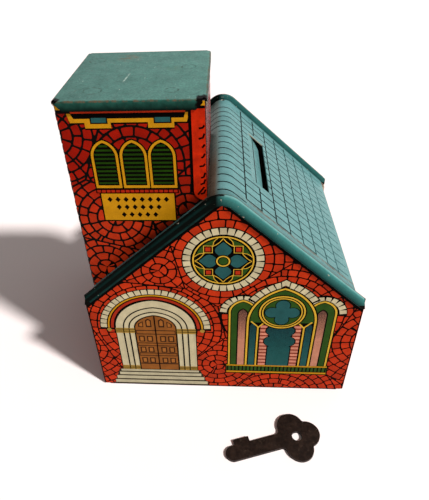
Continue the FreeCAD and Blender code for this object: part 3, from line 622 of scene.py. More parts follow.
class Print:
    """Flat patches of ink on the tin, each a thin closed plate, made into one piece."""

    def __init__(self, name, wall):
        self.name, self.wall = name, wall
        self.points, self.faces, self.inks, self.tones = [], [], [], []

    def patch(self, outline, ink, layer=1, tone=0.5):
        if signed_area(outline) < 0:
            outline = outline[::-1]
        first, count = len(self.points), len(outline)
        for lift in (layer - 1, layer):
            self.points += [self.wall.point(u, v, lift * INK) for u, v in outline]
        ring = list(range(count))
        faces = [[first + count + i for i in ring], [first + i for i in reversed(ring)]]
        for i in ring:
            j = (i + 1) % count
            faces.append([first + i, first + j, first + count + j, first + count + i])
        self.faces += faces
        self.inks += [ink] * len(faces)
        self.tones += [tone] * len(faces)

    def bar(self, u0, v0, u1, v1, ink, layer=1, tone=0.5):
        self.patch(rectangle(u0, v0, u1, v1), ink, layer, tone)

    def disc(self, centre, radius, ink, layer=1, steps=40):
        self.patch(arc(centre, radius, 0, 360, steps)[:-1], ink, layer)

    def ring(self, centre, inner, outer, ink, layer=1, start=0, end=360, squash=1.0):
        half = (start + end) / 2
        for low, high in ((start, half), (half, end)):
            outline = arc(centre, outer, low, high) + arc(centre, inner, high, low)
            self.patch([(u, centre[1] + (v - centre[1]) * squash) for u, v in outline], ink, layer)

    def stroke(self, path, width, ink, layer=1):
        self.patch(ribbon(path, width), ink, layer)

    def make(self):
        mesh = bpy.data.meshes.new(self.name)
        mesh.from_pydata(self.points, [], self.faces)
        names = sorted(set(self.inks))
        for name in names:
            mesh.materials.append(INKS[name])
        mesh.polygons.foreach_set("material_index", [names.index(ink) for ink in self.inks])
        settle(mesh, self.tones)


def settle(mesh, tones):
    """Puts a finished mesh in the scene as a piece of the house, with a tone of ink for each face."""
    mesh.attributes.new("tone", "FLOAT", "FACE").data.foreach_set("value", tones)
    piece = bpy.data.objects.new(mesh.name, mesh)
    scene.collection.objects.link(piece)
    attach(piece, "house")


# Stonework

JOINT, TOWER_JOINT = 0.43, 0.56
ROW_HEIGHT, STONE_WIDTH = (2.4, 2.8), (2.5, 3.9)
START_SHARE, LEAST_RADIUS = 0.75, 0.15
LEAST_TURN, WIDEST_TURN = 0.02, 1.9
WOBBLE, BLUNT = 0.06, 0.22
SMALLEST_AREA, BLUNTED_AREA = 0.14, 2.0


def stones(sheet, border, swirls, ink, chance, joint):
    """Rows of stones that run round several centres (u, v, first radius) and fill a convex border."""
    for place, (cu, cv, first) in enumerate(swirls):
        reach = max(math.dist((cu, cv), corner) for corner in border)
        radius = first * START_SHARE
        while radius < reach:
            height = chance.uniform(*ROW_HEIGHT)
            turn = chance.uniform(0, math.tau)
            stop = turn + math.tau
            while turn < stop - LEAST_TURN:
                width = chance.uniform(*STONE_WIDTH) / (radius + height / 2)
                width = min(width, WIDEST_TURN, stop - turn)
                inset = joint / 2 / (radius + height / 2)
                low, high = math.degrees(turn + inset), math.degrees(turn + width - inset)
                turn += width
                inner = max(radius + joint / 2, LEAST_RADIUS)
                outline = arc((cu, cv), radius + height - joint / 2, low, high, 3)
                outline += arc((cu, cv), inner, high, low, 3)
                outline = [(u + chance.uniform(-WOBBLE, WOBBLE), v + chance.uniform(-WOBBLE, WOBBLE))
                           for u, v in outline]
                outline = fitted(outline, border, swirls, place, joint / 2)
                area = abs(signed_area(outline)) if len(outline) > 2 else 0.0
                if area > SMALLEST_AREA:
                    stone = blunted(outline, BLUNT) if area > BLUNTED_AREA else outline
                    sheet.patch(stone, ink, 1, chance.random())
            radius += height


def fitted(outline, border, swirls, place, inset):
    """A stone cut to the ground of its own swirl and to the border."""
    cu, cv, first = swirls[place]
    for other, (ou, ov, start) in enumerate(swirls):
        if other == place or len(outline) < 3:
            continue
        gap = math.dist((cu, cv), (ou, ov))
        share = (gap * gap + first * first - start * start) / (2 * gap * gap)
        normal = ((cu - ou) / gap, (cv - ov) / gap)
        spot = (cu + (ou - cu) * share + normal[0] * inset, cv + (ov - cv) * share + normal[1] * inset)
        outline = cut(outline, spot, normal)
    for a, b in sides(border):
        if len(outline) < 3:
            break
        length = math.dist(a, b)
        outline = cut(outline, a, (-(b[1] - a[1]) / length, (b[0] - a[0]) / length))
    return outline


def gable_border():
    """The red part of a gable, below the black line under the rim."""
    foot, beside, under_roof = 0.6, 0.5, 2.2
    top = ridge - under_roof / math.cos(pitch)
    half = gable_half - beside
    shoulder = top - half * math.tan(pitch)
    return [(-half, foot), (half, foot), (half, shoulder), (0, top), (-half, shoulder)]


# Middles of the front's openings, and where their arches start

ROSE = (0.33, 57.1)
DOORWAY, SPRING, SQUASH = -20.75, 29.4, 0.965
WINDOW, ARCH_SPRING, ARCH_POINT = 18.0, 33.0, 4.63

FRONT_SWIRLS = [(-17.7, 53.4, 0.0), (DOORWAY, SPRING, 17.4), (*ROSE, 11.6), (-47.0, 20.0, 3.0),
                (-1.5, 12.0, 0.0), (47.0, 25.0, 3.0), (WINDOW, -6.0, 8.0), (WINDOW, 36.0, 14.0)]
TOWER_SWIRLS = [(-29.0, 67.5, 0.0), (-22.0, 84.0, 3.0), (-42.0, 92.0, 4.0), (-9.0, 70.0, 0.0),
                (-34.0, 50.0, 0.0)]


def stonework(name, wall, border, swirls, seed, ink="stone", joint=JOINT):
    """Stones over one whole wall."""
    sheet = Print(name, wall)
    stones(sheet, border, swirls, ink, random.Random(seed), joint)
    sheet.make()


def house_stonework():
    """The front, and the three sides that the photograph doesn't show."""
    stonework("front_stonework", front_wall, gable_border(), FRONT_SWIRLS, 11)
    half = half_depth - 1.6
    swirls = [(-20, 12, 0.0), (14, 26, 0.0), (44, 8, 0.0), (-46, 34, 0.0)]
    wall_border = rectangle(-half, 2.0, half, eave - 1.2)
    stonework("right_side_stonework", right_wall, wall_border, swirls, 21)
    stonework("left_side_stonework", left_wall, wall_border, swirls, 22)
    back_swirls = [(-16, 20, 0.0), (18, 36, 0.0), (0, 62, 0.0), (46, 10, 0.0), (-48, 42, 0.0)]
    stonework("back_stonework", back_wall, gable_border(), back_swirls, 23)


def tower_stonework():
    inset, foot, top = 0.3, eave + 0.6, tower_top - 2.6
    left, right, near, far = tower_left + inset, tower_right - inset, tower_front + inset, tower_back - inset
    back_swirls = [(-u, v, 0.0) for u, v, _ in TOWER_SWIRLS]
    side_swirls = [(0, 74, 0.0), (20, 96, 0.0), (-20, 56, 0.0), (16, 58, 0.0)]
    for name, wall, low, high, swirls, seed, ink in (
            ("front", tower_front_wall, left, right, TOWER_SWIRLS, 31, "tower_stone"),
            ("back", tower_back_wall, -right, -left, back_swirls, 32, "tower_stone"),
            ("right", tower_right_wall, near, far, side_swirls, 33, "side_stone"),
            ("left", tower_left_wall, -far, -near, side_swirls, 34, "tower_stone")):
        border = rectangle(low, foot, high, top)
        stonework(f"tower_{name}_stonework", wall, border, swirls, seed, ink, TOWER_JOINT)


# Repeats made with Geometry Nodes


class Tree(Wiring):
    """A Geometry Nodes tree with named inputs. Each run makes one plain mesh, from lengths in millimetres."""

    def __init__(self, name, lengths, **others):
        group = bpy.data.node_groups.new(name, "GeometryNodeTree")
        super().__init__(group)
        group.interface.new_socket("Geometry", in_out="OUTPUT", socket_type="NodeSocketGeometry")
        self.lengths = lengths + ["Thickness"]
        kinds = {**dict.fromkeys(self.lengths, "Float"), **others, "Ink": "Material"}
        self.ids = {}
        for title, kind in kinds.items():
            socket = group.interface.new_socket(title, in_out="INPUT", socket_type="NodeSocket" + kind)
            self.ids[title] = socket.identifier
        self.inputs = self.add("NodeGroupInput").outputs

    def vector(self, x, y, z):
        return self.get("ShaderNodeCombineXYZ", {0: x, 1: y, 2: z})

    def line(self, count, offset=(0, 0, 0)):
        return self.get("GeometryNodeMeshLine", {"Count": count, "Offset": offset})

    def end(self, points, size, place=None, turn=None, dropped=None):
        """Unit blocks on the points, scaled and turned, then realized and inked."""
        if place is not None:
            points = self.get("GeometryNodeSetPosition", {"Geometry": points, "Position": place})
        if dropped is not None:
            points = self.get("GeometryNodeDeleteGeometry", {"Geometry": points, "Selection": dropped})
        block = self.get("GeometryNodeMeshCube", {"Size": (1, 1, 1)})
        sockets = {"Points": points, "Instance": block, "Scale": size}
        if turn is not None:
            sockets["Rotation"] = turn
        blocks = self.get("GeometryNodeInstanceOnPoints", sockets)
        solid = self.get("GeometryNodeRealizeInstances", {0: blocks})
        inked = self.get("GeometryNodeSetMaterial", {"Geometry": solid, "Material": self.inputs["Ink"]})
        self.add("NodeGroupOutput", {0: inked})
        return self

    def run(self, name, values, matrix, slot="stone_print"):
        """Makes a piece from the tree, laid on the tin by the matrix."""
        piece = bpy.data.objects.new(name, bpy.data.meshes.new(name + "_points"))
        scene.collection.objects.link(piece)
        modifier = piece.modifiers.new("repeat", "NODES")
        modifier.node_group = self.tree
        for title, value in {**values, "Thickness": INK}.items():
            modifier[self.ids[title]] = value * MM if title in self.lengths else value
        ready = piece.evaluated_get(bpy.context.evaluated_depsgraph_get())
        mesh = bpy.data.meshes.new_from_object(ready)
        mesh.name = name
        bpy.data.objects.remove(piece)
        mesh.transform(matrix)
        chance = random.Random(name)
        shades = [chance.random() for _ in range(len(mesh.polygons) // 6)]
        tones = [shades[face // 6] for face in range(len(mesh.polygons))]
        settle(mesh, tones)


def block_arch_tree():
    """Blocks side by side along an arc."""
    tree = Tree("block_arch", ["Radius", "Depth", "Length"], Count="Int", Start="Float", Sweep="Float")
    given = tree.inputs
    points = tree.line(given["Count"])
    place = tree.plus(tree.get("GeometryNodeInputIndex"), 0.5)
    share = tree.math("DIVIDE", place, given["Count"])
    turn = tree.plus(given["Start"], tree.times(share, given["Sweep"]))
    across = tree.times(given["Radius"], tree.math("COSINE", turn))
    up = tree.times(given["Radius"], tree.math("SINE", turn))
    size = tree.vector(given["Depth"], given["Length"], given["Thickness"])
    return tree.end(points, size, tree.vector(across, up, 0.0), tree.vector(0.0, 0.0, turn))


def bar_stack_tree():
    """Level bars one above another, shortened where they come under an arch."""
    tree = Tree("bar_stack", ["Pitch", "Half Width", "Spring", "Point", "Bar"], Count="Int")
    given = tree.inputs
    points = tree.line(given["Count"], tree.vector(0.0, given["Pitch"], 0.0))
    height = tree.split(tree.get("GeometryNodeInputPosition"))[1]
    above = tree.most(tree.minus(height, given["Spring"]), 0.0)
    radius = tree.plus(given["Half Width"], given["Point"])
    reach = tree.minus(tree.math("POWER", radius, 2.0), tree.math("POWER", above, 2.0))
    half = tree.minus(tree.root(tree.most(reach, 0.0)), given["Point"])
    length = tree.most(tree.times(half, 2.0), 0.1 * MM)
    return tree.end(points, tree.vector(length, given["Bar"], given["Thickness"]))


def roof_tile_tree():
    """Short lines between the tiles of a slope, each row shifted by half a tile. The rows get
    narrower towards the eave, and nothing is drawn between the ends of the gap."""
    lengths = ["First Row", "Row", "Shrink", "First Tile", "Tile", "Line",
               "Gap Start", "Gap End", "Gap Top", "Gap Foot"]
    tree = Tree("roof_tiles", lengths, Rows="Int", Columns="Int", Across="Bool")
    given = tree.inputs
    count = tree.times(given["Rows"], given["Columns"])
    points = tree.line(count)
    index = tree.get("GeometryNodeInputIndex")
    row = tree.math("FLOOR", tree.math("DIVIDE", index, given["Columns"]))
    column = tree.math("MODULO", index, given["Columns"])

    def row_start(number):
        step = tree.minus(given["Row"], tree.times(given["Shrink"], number))
        return tree.plus(given["First Row"], tree.times(number, step))

    top = row_start(row)
    foot = row_start(tree.plus(row, 1.0))
    tall = tree.minus(foot, top)
    half_tile = tree.times(given["Tile"], 0.5)
    stagger = tree.times(tree.math("MODULO", row, 2.0), half_tile)
    start = tree.plus(given["First Tile"], tree.times(column, given["Tile"]))
    joint_height = tree.times(-0.5, tree.plus(top, foot))
    joint_place = tree.vector(tree.plus(start, stagger), joint_height, 0.0)
    course_height = tree.times(-1.0, top)
    course_place = tree.vector(tree.plus(start, half_tile), course_height, 0.0)
    joint_size = tree.vector(given["Line"], tall, given["Thickness"])
    course_size = tree.vector(given["Tile"], given["Line"], given["Thickness"])

    def choose(no, yes):
        return tree.get("GeometryNodeSwitch", {0: given["Across"], 1: no, 2: yes}, input_type="VECTOR")

    place, size = choose(joint_place, course_place), choose(joint_size, course_size)
    across, up, _ = tree.split(tree.get("GeometryNodeInputPosition"))
    down = tree.times(-1.0, up)
    in_gap = tree.times(tree.math("GREATER_THAN", across, given["Gap Start"]),
                        tree.math("LESS_THAN", across, given["Gap End"]),
                        tree.math("GREATER_THAN", down, given["Gap Top"]),
                        tree.math("LESS_THAN", down, given["Gap Foot"]))
    return tree.end(points, size, place, dropped=in_gap)


block_arch = block_arch_tree()
bar_stack = bar_stack_tree()
roof_tiles = roof_tile_tree()

BLOCK_JOINT = 0.35


def laid(wall, u, v, layer):
    """Where a repeat starts on a wall, in one layer of the print."""
    return wall.matrix() @ Matrix.Translation((u * MM, v * MM, (layer - 0.5) * INK * MM))


def blocks(name, wall, centre, radius, depth, start, end, count, layer, squash=1.0):
    """Arch stones between two angles, on one layer of the print; squash lowers the arch."""
    sweep = math.radians(end - start)
    middle_radius = radius + depth / 2
    length = middle_radius * sweep / count - BLOCK_JOINT
    values = {"Count": count, "Radius": middle_radius, "Start": math.radians(start), "Sweep": sweep,
              "Depth": depth, "Length": length, "Ink": INKS["cream"]}
    lowered = Matrix.Diagonal((1.0, squash, 1.0, 1.0))
    block_arch.run(name, values, laid(wall, *centre, layer) @ lowered)


def bars(name, wall, centre, foot, count, step, half, bar, layer, ink, spring=1000.0, point=0.0, turn=0):
    """A stack of bars whose lowest one has its middle at the foot; turn leans the stack, in degrees."""
    values = {"Count": count, "Pitch": step, "Half Width": half, "Spring": spring - foot, "Point": point,
              "Bar": bar, "Ink": INKS[ink]}
    leaning = Matrix.Rotation(math.radians(turn), 4, "Z")
    bar_stack.run(name, values, laid(wall, centre, foot, layer) @ leaning)


# Rose window


def turned(points, centre, degrees):
    """Points measured from a centre, turned round it and put in their place."""
    cosine, sine = math.cos(math.radians(degrees)), math.sin(math.radians(degrees))
    return [(centre[0] + x * cosine - y * sine, centre[1] + x * sine + y * cosine) for x, y in points]


def rose_window():
    """Four leaves under ogee lines, with a framed square between each two and a ring of stones outside."""
    sheet = Print("rose_window_print", front_wall)
    sheet.disc(ROSE, 11.5, "black", 2, 64)
    sheet.ring(ROSE, 8.07, 8.47, "gold", 3)
    sheet.disc(ROSE, 7.6, "green", 3, 56)
    sheet.disc(ROSE, 4.1, "black", 5, 40)
    arm = [(2.95, 2.95), (2.95, 5.2), (2.6, 6.4), (1.5, 7.5)]
    leaf = [(0.6, 1.9), (1.25, 2.1), (2.0, 2.9), (2.28, 3.7), (2.1, 4.5), (1.4, 5.3), (0.8, 5.9), (0.3, 6.4)]
    outer_line = [(2.8, 5.1), (2.55, 6.5), (2.1, 7.2), (1.4, 7.9)]
    ogee_line = [(2.8, 5.1), (1.8, 5.75), (0.9, 6.55), (0.35, 7.25), (0.0, 7.8)]
    leaf_tip = [(0.0, 6.6)]
    for turn in (0, 90, 180, 270):
        sheet.patch(turned(arm + mirrored(arm, 0)[::-1], ROSE, turn), "black", 4)
        sheet.patch(turned(leaf + leaf_tip + mirrored(leaf, 0)[::-1], ROSE, turn), "teal", 9)
        for hand in (1, -1):
            for line, layer in ((outer_line, 6), (ogee_line, 7)):
                sheet.stroke(turned([(hand * x, y) for x, y in line], ROSE, turn), 0.22, "gold", layer)
        u, v = turned([(4.1, 4.1)], ROSE, turn)[0]
        for size, ink, layer in ((1.27, "gold", 8), (1.07, "black", 9), (0.68, "stone", 10)):
            sheet.bar(u - size, v - size, u + size, v + size, ink, layer)
    sheet.disc(ROSE, 2.25, "black", 10, 32)
    sheet.ring(ROSE, 1.53, 1.92, "gold", 11)
    sheet.disc(ROSE, 1.25, "green", 11, 28)
    sheet.make()
    blocks("rose_window_stones", front_wall, ROSE, radius=9.05, depth=2.1, start=0, end=360, count=30,
           layer=3)


# Doorway


def low_arch(half, rise):
    """A slightly pointed arch over the doors, lower than half its width."""
    outline = arch(DOORWAY, SPRING, half, 1.2)
    flatten = rise / (max(v for u, v in outline) - SPRING)
    return [(u, SPRING + (v - SPRING) * flatten) for u, v in outline]


def doorway():
    sheet = Print("doorway_print", front_wall)
    centre = (DOORWAY, SPRING)
    reach, column_reach, foot = 17.5, 12.85, 28.6
    ground = [(u, SPRING + (v - SPRING) * SQUASH) for u, v in arc(centre, reach, 0, 180, 40)]
    sheet.patch([(DOORWAY - reach, foot), (DOORWAY + reach, foot)] + ground, "black", 2)
    sheet.bar(DOORWAY - column_reach, 8.6, DOORWAY + column_reach, foot, "black", 2)
    sheet.ring(centre, 14.45, 14.95, "yellow", 3, 0, 180, SQUASH)
    sheet.ring(centre, 13.1, 14.0, "arch_red", 3, 0, 180, SQUASH)
    mouldings = ((12.75, 12.4, "black"), (12.45, 12.1, "cream"), (10.25, 9.4, "black"), (9.8, 8.95, "cream"),
                 (8.5, 7.5, "black"), (8.05, 7.05, "cream"), (6.75, 6.0, "black"))
    for layer, (half, rise, ink) in enumerate(mouldings, start=3):
        sheet.patch(low_arch(half, rise), ink, layer)
    for hand in (1, -1):
        sheet.disc((DOORWAY + hand * 14.7, SPRING - 0.9), 0.75, "ochre", 3, 20)
        for near, far in ((10.45, 12.55), (8.65, 9.95), (6.8, 8.15)):
            column(sheet, DOORWAY + hand * (near + far) / 2, (far - near) / 2)
    leaves(sheet)
    steps(sheet)
    sheet.make()
    blocks("doorway_arch_stones", front_wall, centre, radius=15.3, depth=1.9, start=0, end=180, count=25,
           layer=3, squash=SQUASH)


def column(sheet, u, half):
    """A round column with its capital and base, shaded along one side."""
    foot, top = 10.7, 27.0
    sheet.bar(u - half, foot, u + half, top, "cream", 3)
    sheet.bar(u + half * 0.45, foot, u + half * 0.75, top, "step", 4)
    for low, high, spread in ((top, SPRING, 0.12), (8.6, 10.8, 0.1)):
        left, right = u - half - spread, u + half + spread
        sheet.bar(left, low, right, high, "ochre", 4)
        sheet.bar(left, low + 0.75, right, low + 1.0, "black", 5)
        sheet.bar(left, high - 0.75, right, high - 0.5, "step_side", 5)


def leaves(sheet):
    """The double doors, with rails and small panels."""
    sheet.patch([(DOORWAY - 6.3, 9.0), (DOORWAY + 6.3, 9.0)] + low_arch(6.3, 5.55), "wood", 10)
    sheet.stroke([(DOORWAY, 9.0), (DOORWAY, SPRING + 5.5)], 0.4, "black", 14)
    for low, high in ((11.8, 12.3), (16.0, 17.6), (21.0, 22.6), (26.6, 28.6)):
        sheet.bar(DOORWAY - 6.2, low, DOORWAY + 6.2, high, "wood_line", 11)
        if high - low > 1:
            sheet.bar(DOORWAY - 6.0, low + 0.35, DOORWAY + 6.0, high - 0.35, "wood", 12)
    for hand in (1, -1):
        for offset in (2.1, 4.7):
            u = DOORWAY + hand * offset
            for v in (24.5, 19.2, 13.8):
                framed(sheet, rectangle(u - 0.95, v - 1.35, u + 0.95, v + 1.35))
        for offset, half, shoulder, tip, lean in ((2.0, 0.9, 33.1, 33.8, 0.0), (4.5, 0.8, 31.5, 32.6, 0.8)):
            u = DOORWAY + hand * offset
            outline = rectangle(u - half, 30.0, u + half, shoulder)
            framed(sheet, outline[:3] + [(u - hand * lean, tip)] + outline[3:])


def framed(sheet, outline):
    """A door panel with a dark line round it."""
    sheet.patch(outline, "wood_line", 12)
    cu = sum(u for u, v in outline) / len(outline)
    cv = sum(v for u, v in outline) / len(outline)
    inner = [(cu + (u - cu) * 0.58, cv + (v - cv) * 0.7) for u, v in outline]
    sheet.patch(inner, "panel", 13)


def steps(sheet):
    """Four steps up to the doors, each lit on top and dark below."""
    sheet.patch([(-37.5, 0.4), (-4.3, 0.4), (-7.2, 8.8), (-34.8, 8.8)], "step_side", 4)
    treads = ((-34.3, 7.6, -7.7, 8.6), (-35.0, 5.6, -6.9, 7.0),
              (-36.2, 3.4, -5.9, 5.0), (-37.0, 1.1, -4.8, 2.7))
    for tread in treads:
        sheet.bar(*tread, "step", 5)


# Triple window


def triple_window():
    sheet = Print("triple_window_print", front_wall)
    for centre in (6.3, 29.7):
        side_light(sheet, centre)
    middle_light(sheet)
    sheet.bar(1.2, 7.9, 34.8, 12.9, "black", 2)
    sill = ((11.9, 12.5, "yellow", 14), (9.4, 11.7, "green", 3), (8.3, 9.1, "yellow", 3))
    for low, high, ink, layer in sill:
        sheet.bar(1.6, low, 34.4, high, ink, layer)
    sheet.make()
    bars("sill_dentils", front_wall, 2.0, 10.55, count=27, step=1.23, half=1.15, bar=0.42, layer=4,
         ink="black", turn=-90)
    for name, hand, light, crown in (("left", -1, (35, 180), (110, 146)), ("right", 1, (0, 145), (34, 70))):
        centre = (WINDOW + hand * 11.7, 37.0)
        blocks(name + "_light_stones", front_wall, centre, radius=4.85, depth=2.0, start=light[0],
               end=light[1], count=8, layer=3)
        bars(name + "_brick_column", front_wall, WINDOW + hand * 4.95, 13.1, count=12, step=1.64, half=1.2,
             bar=1.02, layer=12, ink="brick")
        spot = (WINDOW - hand * ARCH_POINT, ARCH_SPRING)
        blocks(name + "_arch_stones", front_wall, spot, radius=15.5, depth=2.0, start=crown[0],
               end=crown[1], count=5, layer=10)


def side_light(sheet, centre):
    """A narrow light with a green border round its pane, from the outside inwards."""
    outlines = ((36.2, 37.0, 7.1, 0.6, "black"), (12.2, 37.0, 4.55, 1.25, "black"),
                (12.4, 37.0, 4.2, 1.25, "gold"), (12.4, 37.0, 3.65, 1.2, "black"),
                (12.4, 37.0, 3.4, 1.2, "green"), (12.4, 36.4, 1.65, 1.1, "black"),
                (12.5, 36.4, 1.25, 1.1, "pink"))
    for layer, (foot, spring, half, point, ink) in enumerate(outlines, start=2):
        sheet.patch(lancet(centre, foot, spring, half, point), ink, layer)


def middle_light(sheet):
    """The tall light in front of the other two, with a ring of four lobes over three panes."""
    half, spring, point = 10.4, ARCH_SPRING, ARCH_POINT
    for hand, low, high in ((1, 32.5, 72.0), (-1, 108.0, 147.5)):
        sheet.ring((WINDOW - hand * point, spring), 15.1, 17.85, "black", 9, low, high)
    crown = [(-1.2, 47.3), (0.0, 48.0), (1.2, 47.3), (1.5, 49.8), (0.0, 50.8), (-1.5, 49.8)]
    key_block = [(-0.95, 47.8), (0.0, 48.35), (0.95, 47.8), (1.2, 49.6), (0.0, 50.4), (-1.2, 49.6)]
    for outline, ink, layer in ((crown, "black", 10), (key_block, "cream", 11)):
        sheet.patch([(WINDOW + u, v) for u, v in outline], ink, layer)
    for foot, grow, ink, layer in ((12.2, 0.4, "black", 8), (12.4, 0.0, "gold", 9), (12.4, -0.6, "black", 10),
                                   (spring, -0.9, "green", 11)):
        sheet.patch(lancet(WINDOW, foot, spring, half + grow, point), ink, layer)
    ring = (WINDOW - 0.1, 37.4)
    sheet.disc(ring, 7.2, "black", 15, 48)
    for inner, outer in ((6.35, 6.83), (5.6, 5.95)):
        sheet.ring(ring, inner, outer, "gold", 16)
    sheet.disc(ring, 5.3, "green", 16, 40)
    for reach, ink, layer in ((2.3, "black", 17), (2.05, "teal", 18)):
        for du, dv in ((3.0, 0), (-3.0, 0), (0, 3.0), (0, -3.0)):
            sheet.disc((ring[0] + du, ring[1] + dv), reach, ink, layer, 24)
    sheet.bar(ring[0] - 2.0, ring[1] - 2.0, ring[0] + 2.0, ring[1] + 2.0, "teal", 19)
    column_ground = rectangle(3.75, 12.5, 6.15, 31.9)
    narrow_pane = [(7.5, 12.5), (9.4, 12.5), (9.4, 31.5), (8.4, 33.0), (7.5, 30.5)]
    gold_lines = (([(6.95, 12.5), (6.95, 31.0), (9.1, 33.4)], 12), ([(6.8, 30.9), (5.4, 32.6)], 13))
    for hand in (1, -1):
        for outline, ink in ((column_ground, "mortar"), (narrow_pane, "deep")):
            sheet.patch([(WINDOW + hand * u, v) for u, v in outline], ink, 11)
        for path, layer in gold_lines:
            sheet.stroke([(WINDOW + hand * u, v) for u, v in path], 0.5, "gold", layer)
    for grow, ink, layer in ((0.35, "black", 13), (0.0, "deep", 14)):
        sheet.patch(pane_outline(grow), ink, layer)


def pane_outline(grow):
    """The middle pane: a straight foot that swells into two lobes, one over the other."""
    foot, waist, belly, neck, head, top = 3.5, 21.8, 4.75, 27.2, 4.3, 31.2
    right = [(foot, 12.5), (foot, waist)]
    right += arc((belly - 2.4, (waist + neck) / 2), 2.4, -75, 75, 8)
    right += [(head - 0.7, neck + 0.1)]
    right += arc((head - 2.0, (neck + top) / 2 + 0.1), 2.0, -60, 90, 8)
    right = [(WINDOW + u + grow, v + (grow if v > 30 else 0.0)) for u, v in right]
    return right + mirrored(right, WINDOW)[::-1]


# Tower front

FRIEZE_FOOT = 98.2


def tower_windows():
    sheet = Print("tower_windows_print", tower_front_wall)
    spring, point = 86.0, 1.28
    for number, centre in enumerate((-29.25, -22.0, -14.9), start=1):
        for foot, half, ink, layer in ((76.6, 3.75, "black", 2), (77.1, 3.4, "yellow", 3),
                                       (77.9, 2.75, "black", 4)):
            sheet.patch(lancet(centre, foot, spring, half, point), ink, layer)
        bars(f"tower_louvres_{number}", tower_front_wall, centre, 78.6, count=10, step=1.15, half=2.5,
             bar=0.54, layer=5, ink="louvre", spring=spring, point=point)
    sheet.make()
    course = Print("tower_brick_course", tower_front_wall)
    course.bar(-33.0, 75.5, -11.2, 76.7, "black", 2)
    for brick in range(17):
        left = -32.7 + brick * 1.26
        course.bar(left, 75.75, left + 1.0, 76.5, "tower_stone", 3, 0.7)
    course.make()


def tower_frieze():
    sheet = Print("tower_frieze_print", tower_front_wall)
    sheet.bar(tower_left + 0.3, FRIEZE_FOOT, tower_right - 0.3, 99.4, "yellow", 2)
    sheet.bar(-35.7, 97.3, -8.6, 98.0, "stone", 2)
    sheet.bar(-36.4, 94.6, -7.9, 97.3, "black", 3)
    steps_down = [(-36.7, 97.3), (-36.2, 95.0), (-32.7, 95.0), (-32.7, 93.6), (-26.4, 93.6), (-26.4, 95.0),
                  (-17.5, 95.0), (-17.5, 93.6), (-11.3, 93.6), (-11.3, 95.0), (-8.3, 95.0), (-7.7, 97.3),
                  (-8.6, 97.3), (-9.0, 96.0), (-35.2, 96.0), (-35.8, 97.3)]
    sheet.patch([(u, v - 0.35) if v < 95.5 else (u, v) for u, v in steps_down], "black", 4)
    sheet.patch(steps_down, "yellow", 5)
    for low in (-31.0, -15.8):
        sheet.bar(low - 0.3, 94.7, low + 3.9, 96.5, "black", 6)
        sheet.bar(low, 95.0, low + 3.6, 96.2, "teal", 7)
    sheet.make()


def sign():
    """The sign over the tower's foot, bare of words: three rows of plain lozenges."""
    sheet = Print("sign_plate", tower_front_wall)
    left, right, foot, top = -31.8, -12.5, 67.0, 75.4
    sheet.bar(left - 0.4, foot - 0.4, right + 0.4, top + 0.4, "black", 2)
    sheet.bar(left, foot, right, top, "yellow", 3)
    step, half_width, half_height = 2.15, 0.7, 0.85
    for count, v in ((8, 73.6), (6, 71.2), (5, 68.8)):
        for number in range(count):
            u = (left + right) / 2 + (number - (count - 1) / 2) * step
            lozenge = [(u - half_width, v), (u, v - half_height), (u + half_width, v), (u, v + half_height)]
            sheet.patch(lozenge, "black", 4)
    sheet.make()


def lap_marks():
    """Hooked ends of the stones' joints on the tab that laps the tower's corner, the frieze's line at its
    top and a black painted shadow along its left edge and slanted foot."""
    sheet = Print("lap_joint_print", lap_wall)
    left, right, foot = tower_right - 3.4, tower_right - 0.2, 73.6
    chance = random.Random(5)
    for number in range(8):
        v = foot + 2.0 + 2.6 * number + chance.uniform(-0.4, 0.4)
        reach = chance.uniform(0.9, 1.7)
        rise = chance.uniform(0.5, 1.2)
        hook = [(right - reach, v - rise * 0.3), (right - 0.6, v), (right - 0.2, v + rise)]
        sheet.stroke(hook, 0.5, "black", 1)
    sheet.stroke([(right - 2.2, foot + 1.6), (right - 0.5, foot + 3.9)], 0.5, "black", 2)
    line_top = FRIEZE_FOOT + 0.7
    sheet.bar(left + 0.1, FRIEZE_FOOT, right, line_top, "black", 1)
    sheet.bar(left + 0.1, line_top, right, 100.0, "yellow", 1)
    sheet.make()
    # Painted shadow: a black line along the tab's left edge and under its slanted foot.
    lap_shadow_line = Print("lap_shadow_print", tower_front_wall)
    lap_shadow_line.bar(left - 0.75, foot + 2.4, left - 0.05, 98.0, "black", 8)
    slant = [(left - 0.75, foot + 2.4), (left + 2.7, foot - 0.7), (left + 2.7, foot - 0.05),
             (left, foot + 2.4)]
    lap_shadow_line.patch(slant, "black", 9)
    lap_shadow_line.make()


# Roof lines

FIRST_TILE = middle - 26.9
TILE = 3.95
LINE = 0.5
ROWS, COLUMNS = 8, 15
FIRST_ROW, ROW, SHRINK = 8.6, 6.0, 0.085
SLOT_MARGIN = 0.2


def row_place(number):
    """How far a row's upper line lies below the peak."""
    return FIRST_ROW + number * (ROW - SHRINK * number)


